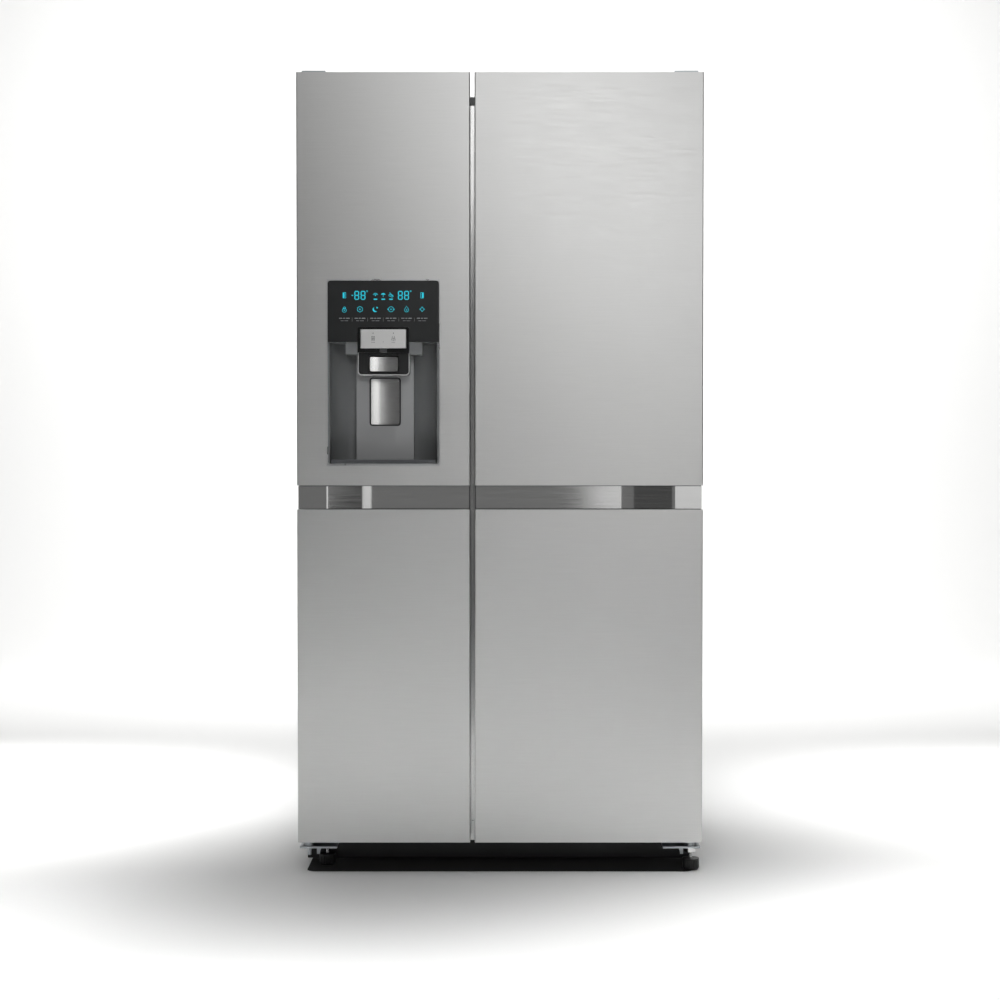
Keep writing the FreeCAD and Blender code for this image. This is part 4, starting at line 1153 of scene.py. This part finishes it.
LAMP_HALF = 0.08
LAMP_DEEP = 0.06
LAMP_TALL = 0.007
LINER_SHEET = 0.002
ROOF_UNDERSIDE = 1.662
frosted, tree, surface = material("frosted_acrylic_lamp_cover", "f6f7f6", 0.5)
surface.inputs["Emission Color"].default_value = to_linear("fbfcff")
surface.inputs["Emission Strength"].default_value = 0.9
emboss(tree, surface, 0.3, 0.0002, noise_over(tree, (500, 500, 500)))
vary_gloss(tree, surface, 0.5, 0.06, noise_over(tree, (60, 60, 60)))
for tag in ("freezer", "fridge"):
    low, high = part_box(f"{tag}_shelves")
    middle = (low.x + high.x) / 2
    ceiling = min(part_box(f"{tag}_liner")[1].z - LINER_SHEET, ROOF_UNDERSIDE)
    lamp_cover = block(
        f"{tag}_lamp_cover",
        (middle - LAMP_HALF, low.y - LAMP_DEEP, ceiling - LAMP_TALL),
        (middle + LAMP_HALF, low.y, ceiling - 0.0003),
    )
    round_off(lamp_cover, 0.012, Z)
    soften(lamp_cover, 0.0025, 4)
    settle(lamp_cover, frosted, "cabinet", "white_liner")

# ---------------------------------------------------------------------------
# Machine space: enamelled compressor, finned condenser with its fan, drip pan, valve and mains inlet.
# The fins and the motor's laminations are drawn in their materials; the darker bands between the fins are
# painted shade in the gaps.

enamel = moulded("black_stove_enamel", "121314", 0.22, grain=0.003, depth=0.00004, coat=0.4)
recast("compressor", "compressor_shell", enamel, 0.003, 4)
FIN_PITCH = 0.003
# a wave texture of scale 1 repeats every 0.314 m
WAVE_REPEAT = 0.314
# light bands draw the fin edges, and the darker bands between them are painted shade in the gaps of the coil
fins, tree, surface = material("aluminium_fins_and_painted_gap_shade", "a9adb0", 0.38, metallic=1.0)
place = put(tree, "ShaderNodeTexCoord")
fin_bands_and_gap_shade = put(
    tree,
    "ShaderNodeTexWave",
    {"bands_direction": "X", "Scale": WAVE_REPEAT / FIN_PITCH, "Distortion": 0.0},
    {"Vector": place.outputs["Object"]},
)
tint(tree, surface, "a9adb0", 0.5, fin_bands_and_gap_shade.outputs["Fac"])
emboss(tree, surface, 1.0, 0.0015, fin_bands_and_gap_shade.outputs["Fac"])
vary_gloss(tree, surface, 0.38, 0.06, noise_over(tree, (30, 30, 30)))
dress(fins, "condenser_coil")
dress(moulded("black_polypropylene_fan", "202224", 0.42), "condenser_fan")
motor, tree, surface = material("laminated_motor_steel", "7d7f80", 0.4, metallic=1.0)
sheets = noise_over(tree, (900, 20, 20))
tint(tree, surface, "7d7f80", 0.3, sheets)
vary_gloss(tree, surface, 0.4, 0.08, sheets)
emboss(tree, surface, 0.3, 0.0002, sheets)
dress(motor, "fan_motor")
recast("drip_pan", "drip_pan_moulding", moulded("black_polypropylene_pan", "26282a", 0.5), 0.0009)
recast("water_valve", "water_valve_moulding", moulded("white_glass_filled_nylon", "d9dad6", 0.45), 0.001)
recast("power_inlet", "power_inlet_moulding", moulded("black_pbt_inlet", "161718", 0.4), 0.0006)

# ---------------------------------------------------------------------------
# Machine cover: a slanted slat pressed inwards behind every slot, and a screw at each corner.
# These screws and those of the hinge covers are joined as one piece.

SLAT_LONG = 0.140
SLAT_DEEP = 0.009
SLAT_THICK = 0.0012
SLAT_SLANT = 0.007
SLOT_TALL = 0.008
FIRST_SLOT_LEFT, SLOT_SPACING = -0.230, 0.170
FIRST_SLOT_LOW, SLOT_RISE = 0.110, 0.030
cover_low, cover_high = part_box("machine_cover")
slats = []
for column_number in range(3):
    for row_number in range(6):
        left = FIRST_SLOT_LEFT + SLOT_SPACING * column_number
        bottom = FIRST_SLOT_LOW + SLOT_RISE * row_number
        slat = block(
            "slat",
            (left - 0.002, cover_low.y - SLAT_DEEP, bottom + SLOT_TALL),
            (left + SLAT_LONG + 0.002, cover_low.y + 0.0005, bottom + SLOT_TALL + SLAT_THICK),
        )
        pick(slat, "VERT", lambda vertex: vertex.co.y < cover_low.y - 0.001)
        bpy.ops.transform.translate(value=(0, 0, -SLAT_SLANT))
        bpy.ops.object.mode_set(mode="OBJECT")
        soften(slat, 0.0004)
        slats.append(slat)
settle(join("cover_louvre_slats", slats), galvanised, "cabinet", "galvanised")
for number, (x, z) in enumerate(
    (x, z)
    for x in (cover_low.x + 0.02, cover_high.x - 0.02)
    for z in (cover_low.z + 0.02, cover_high.z - 0.015)
):
    screws.append(pan_screw(f"cover_screw_{number}", x, cover_high.y - SCREW_SEAT, z, facing_back=True))
settle(join("cover_screws", screws), screw_steel, "cabinet", "bright_fastener")
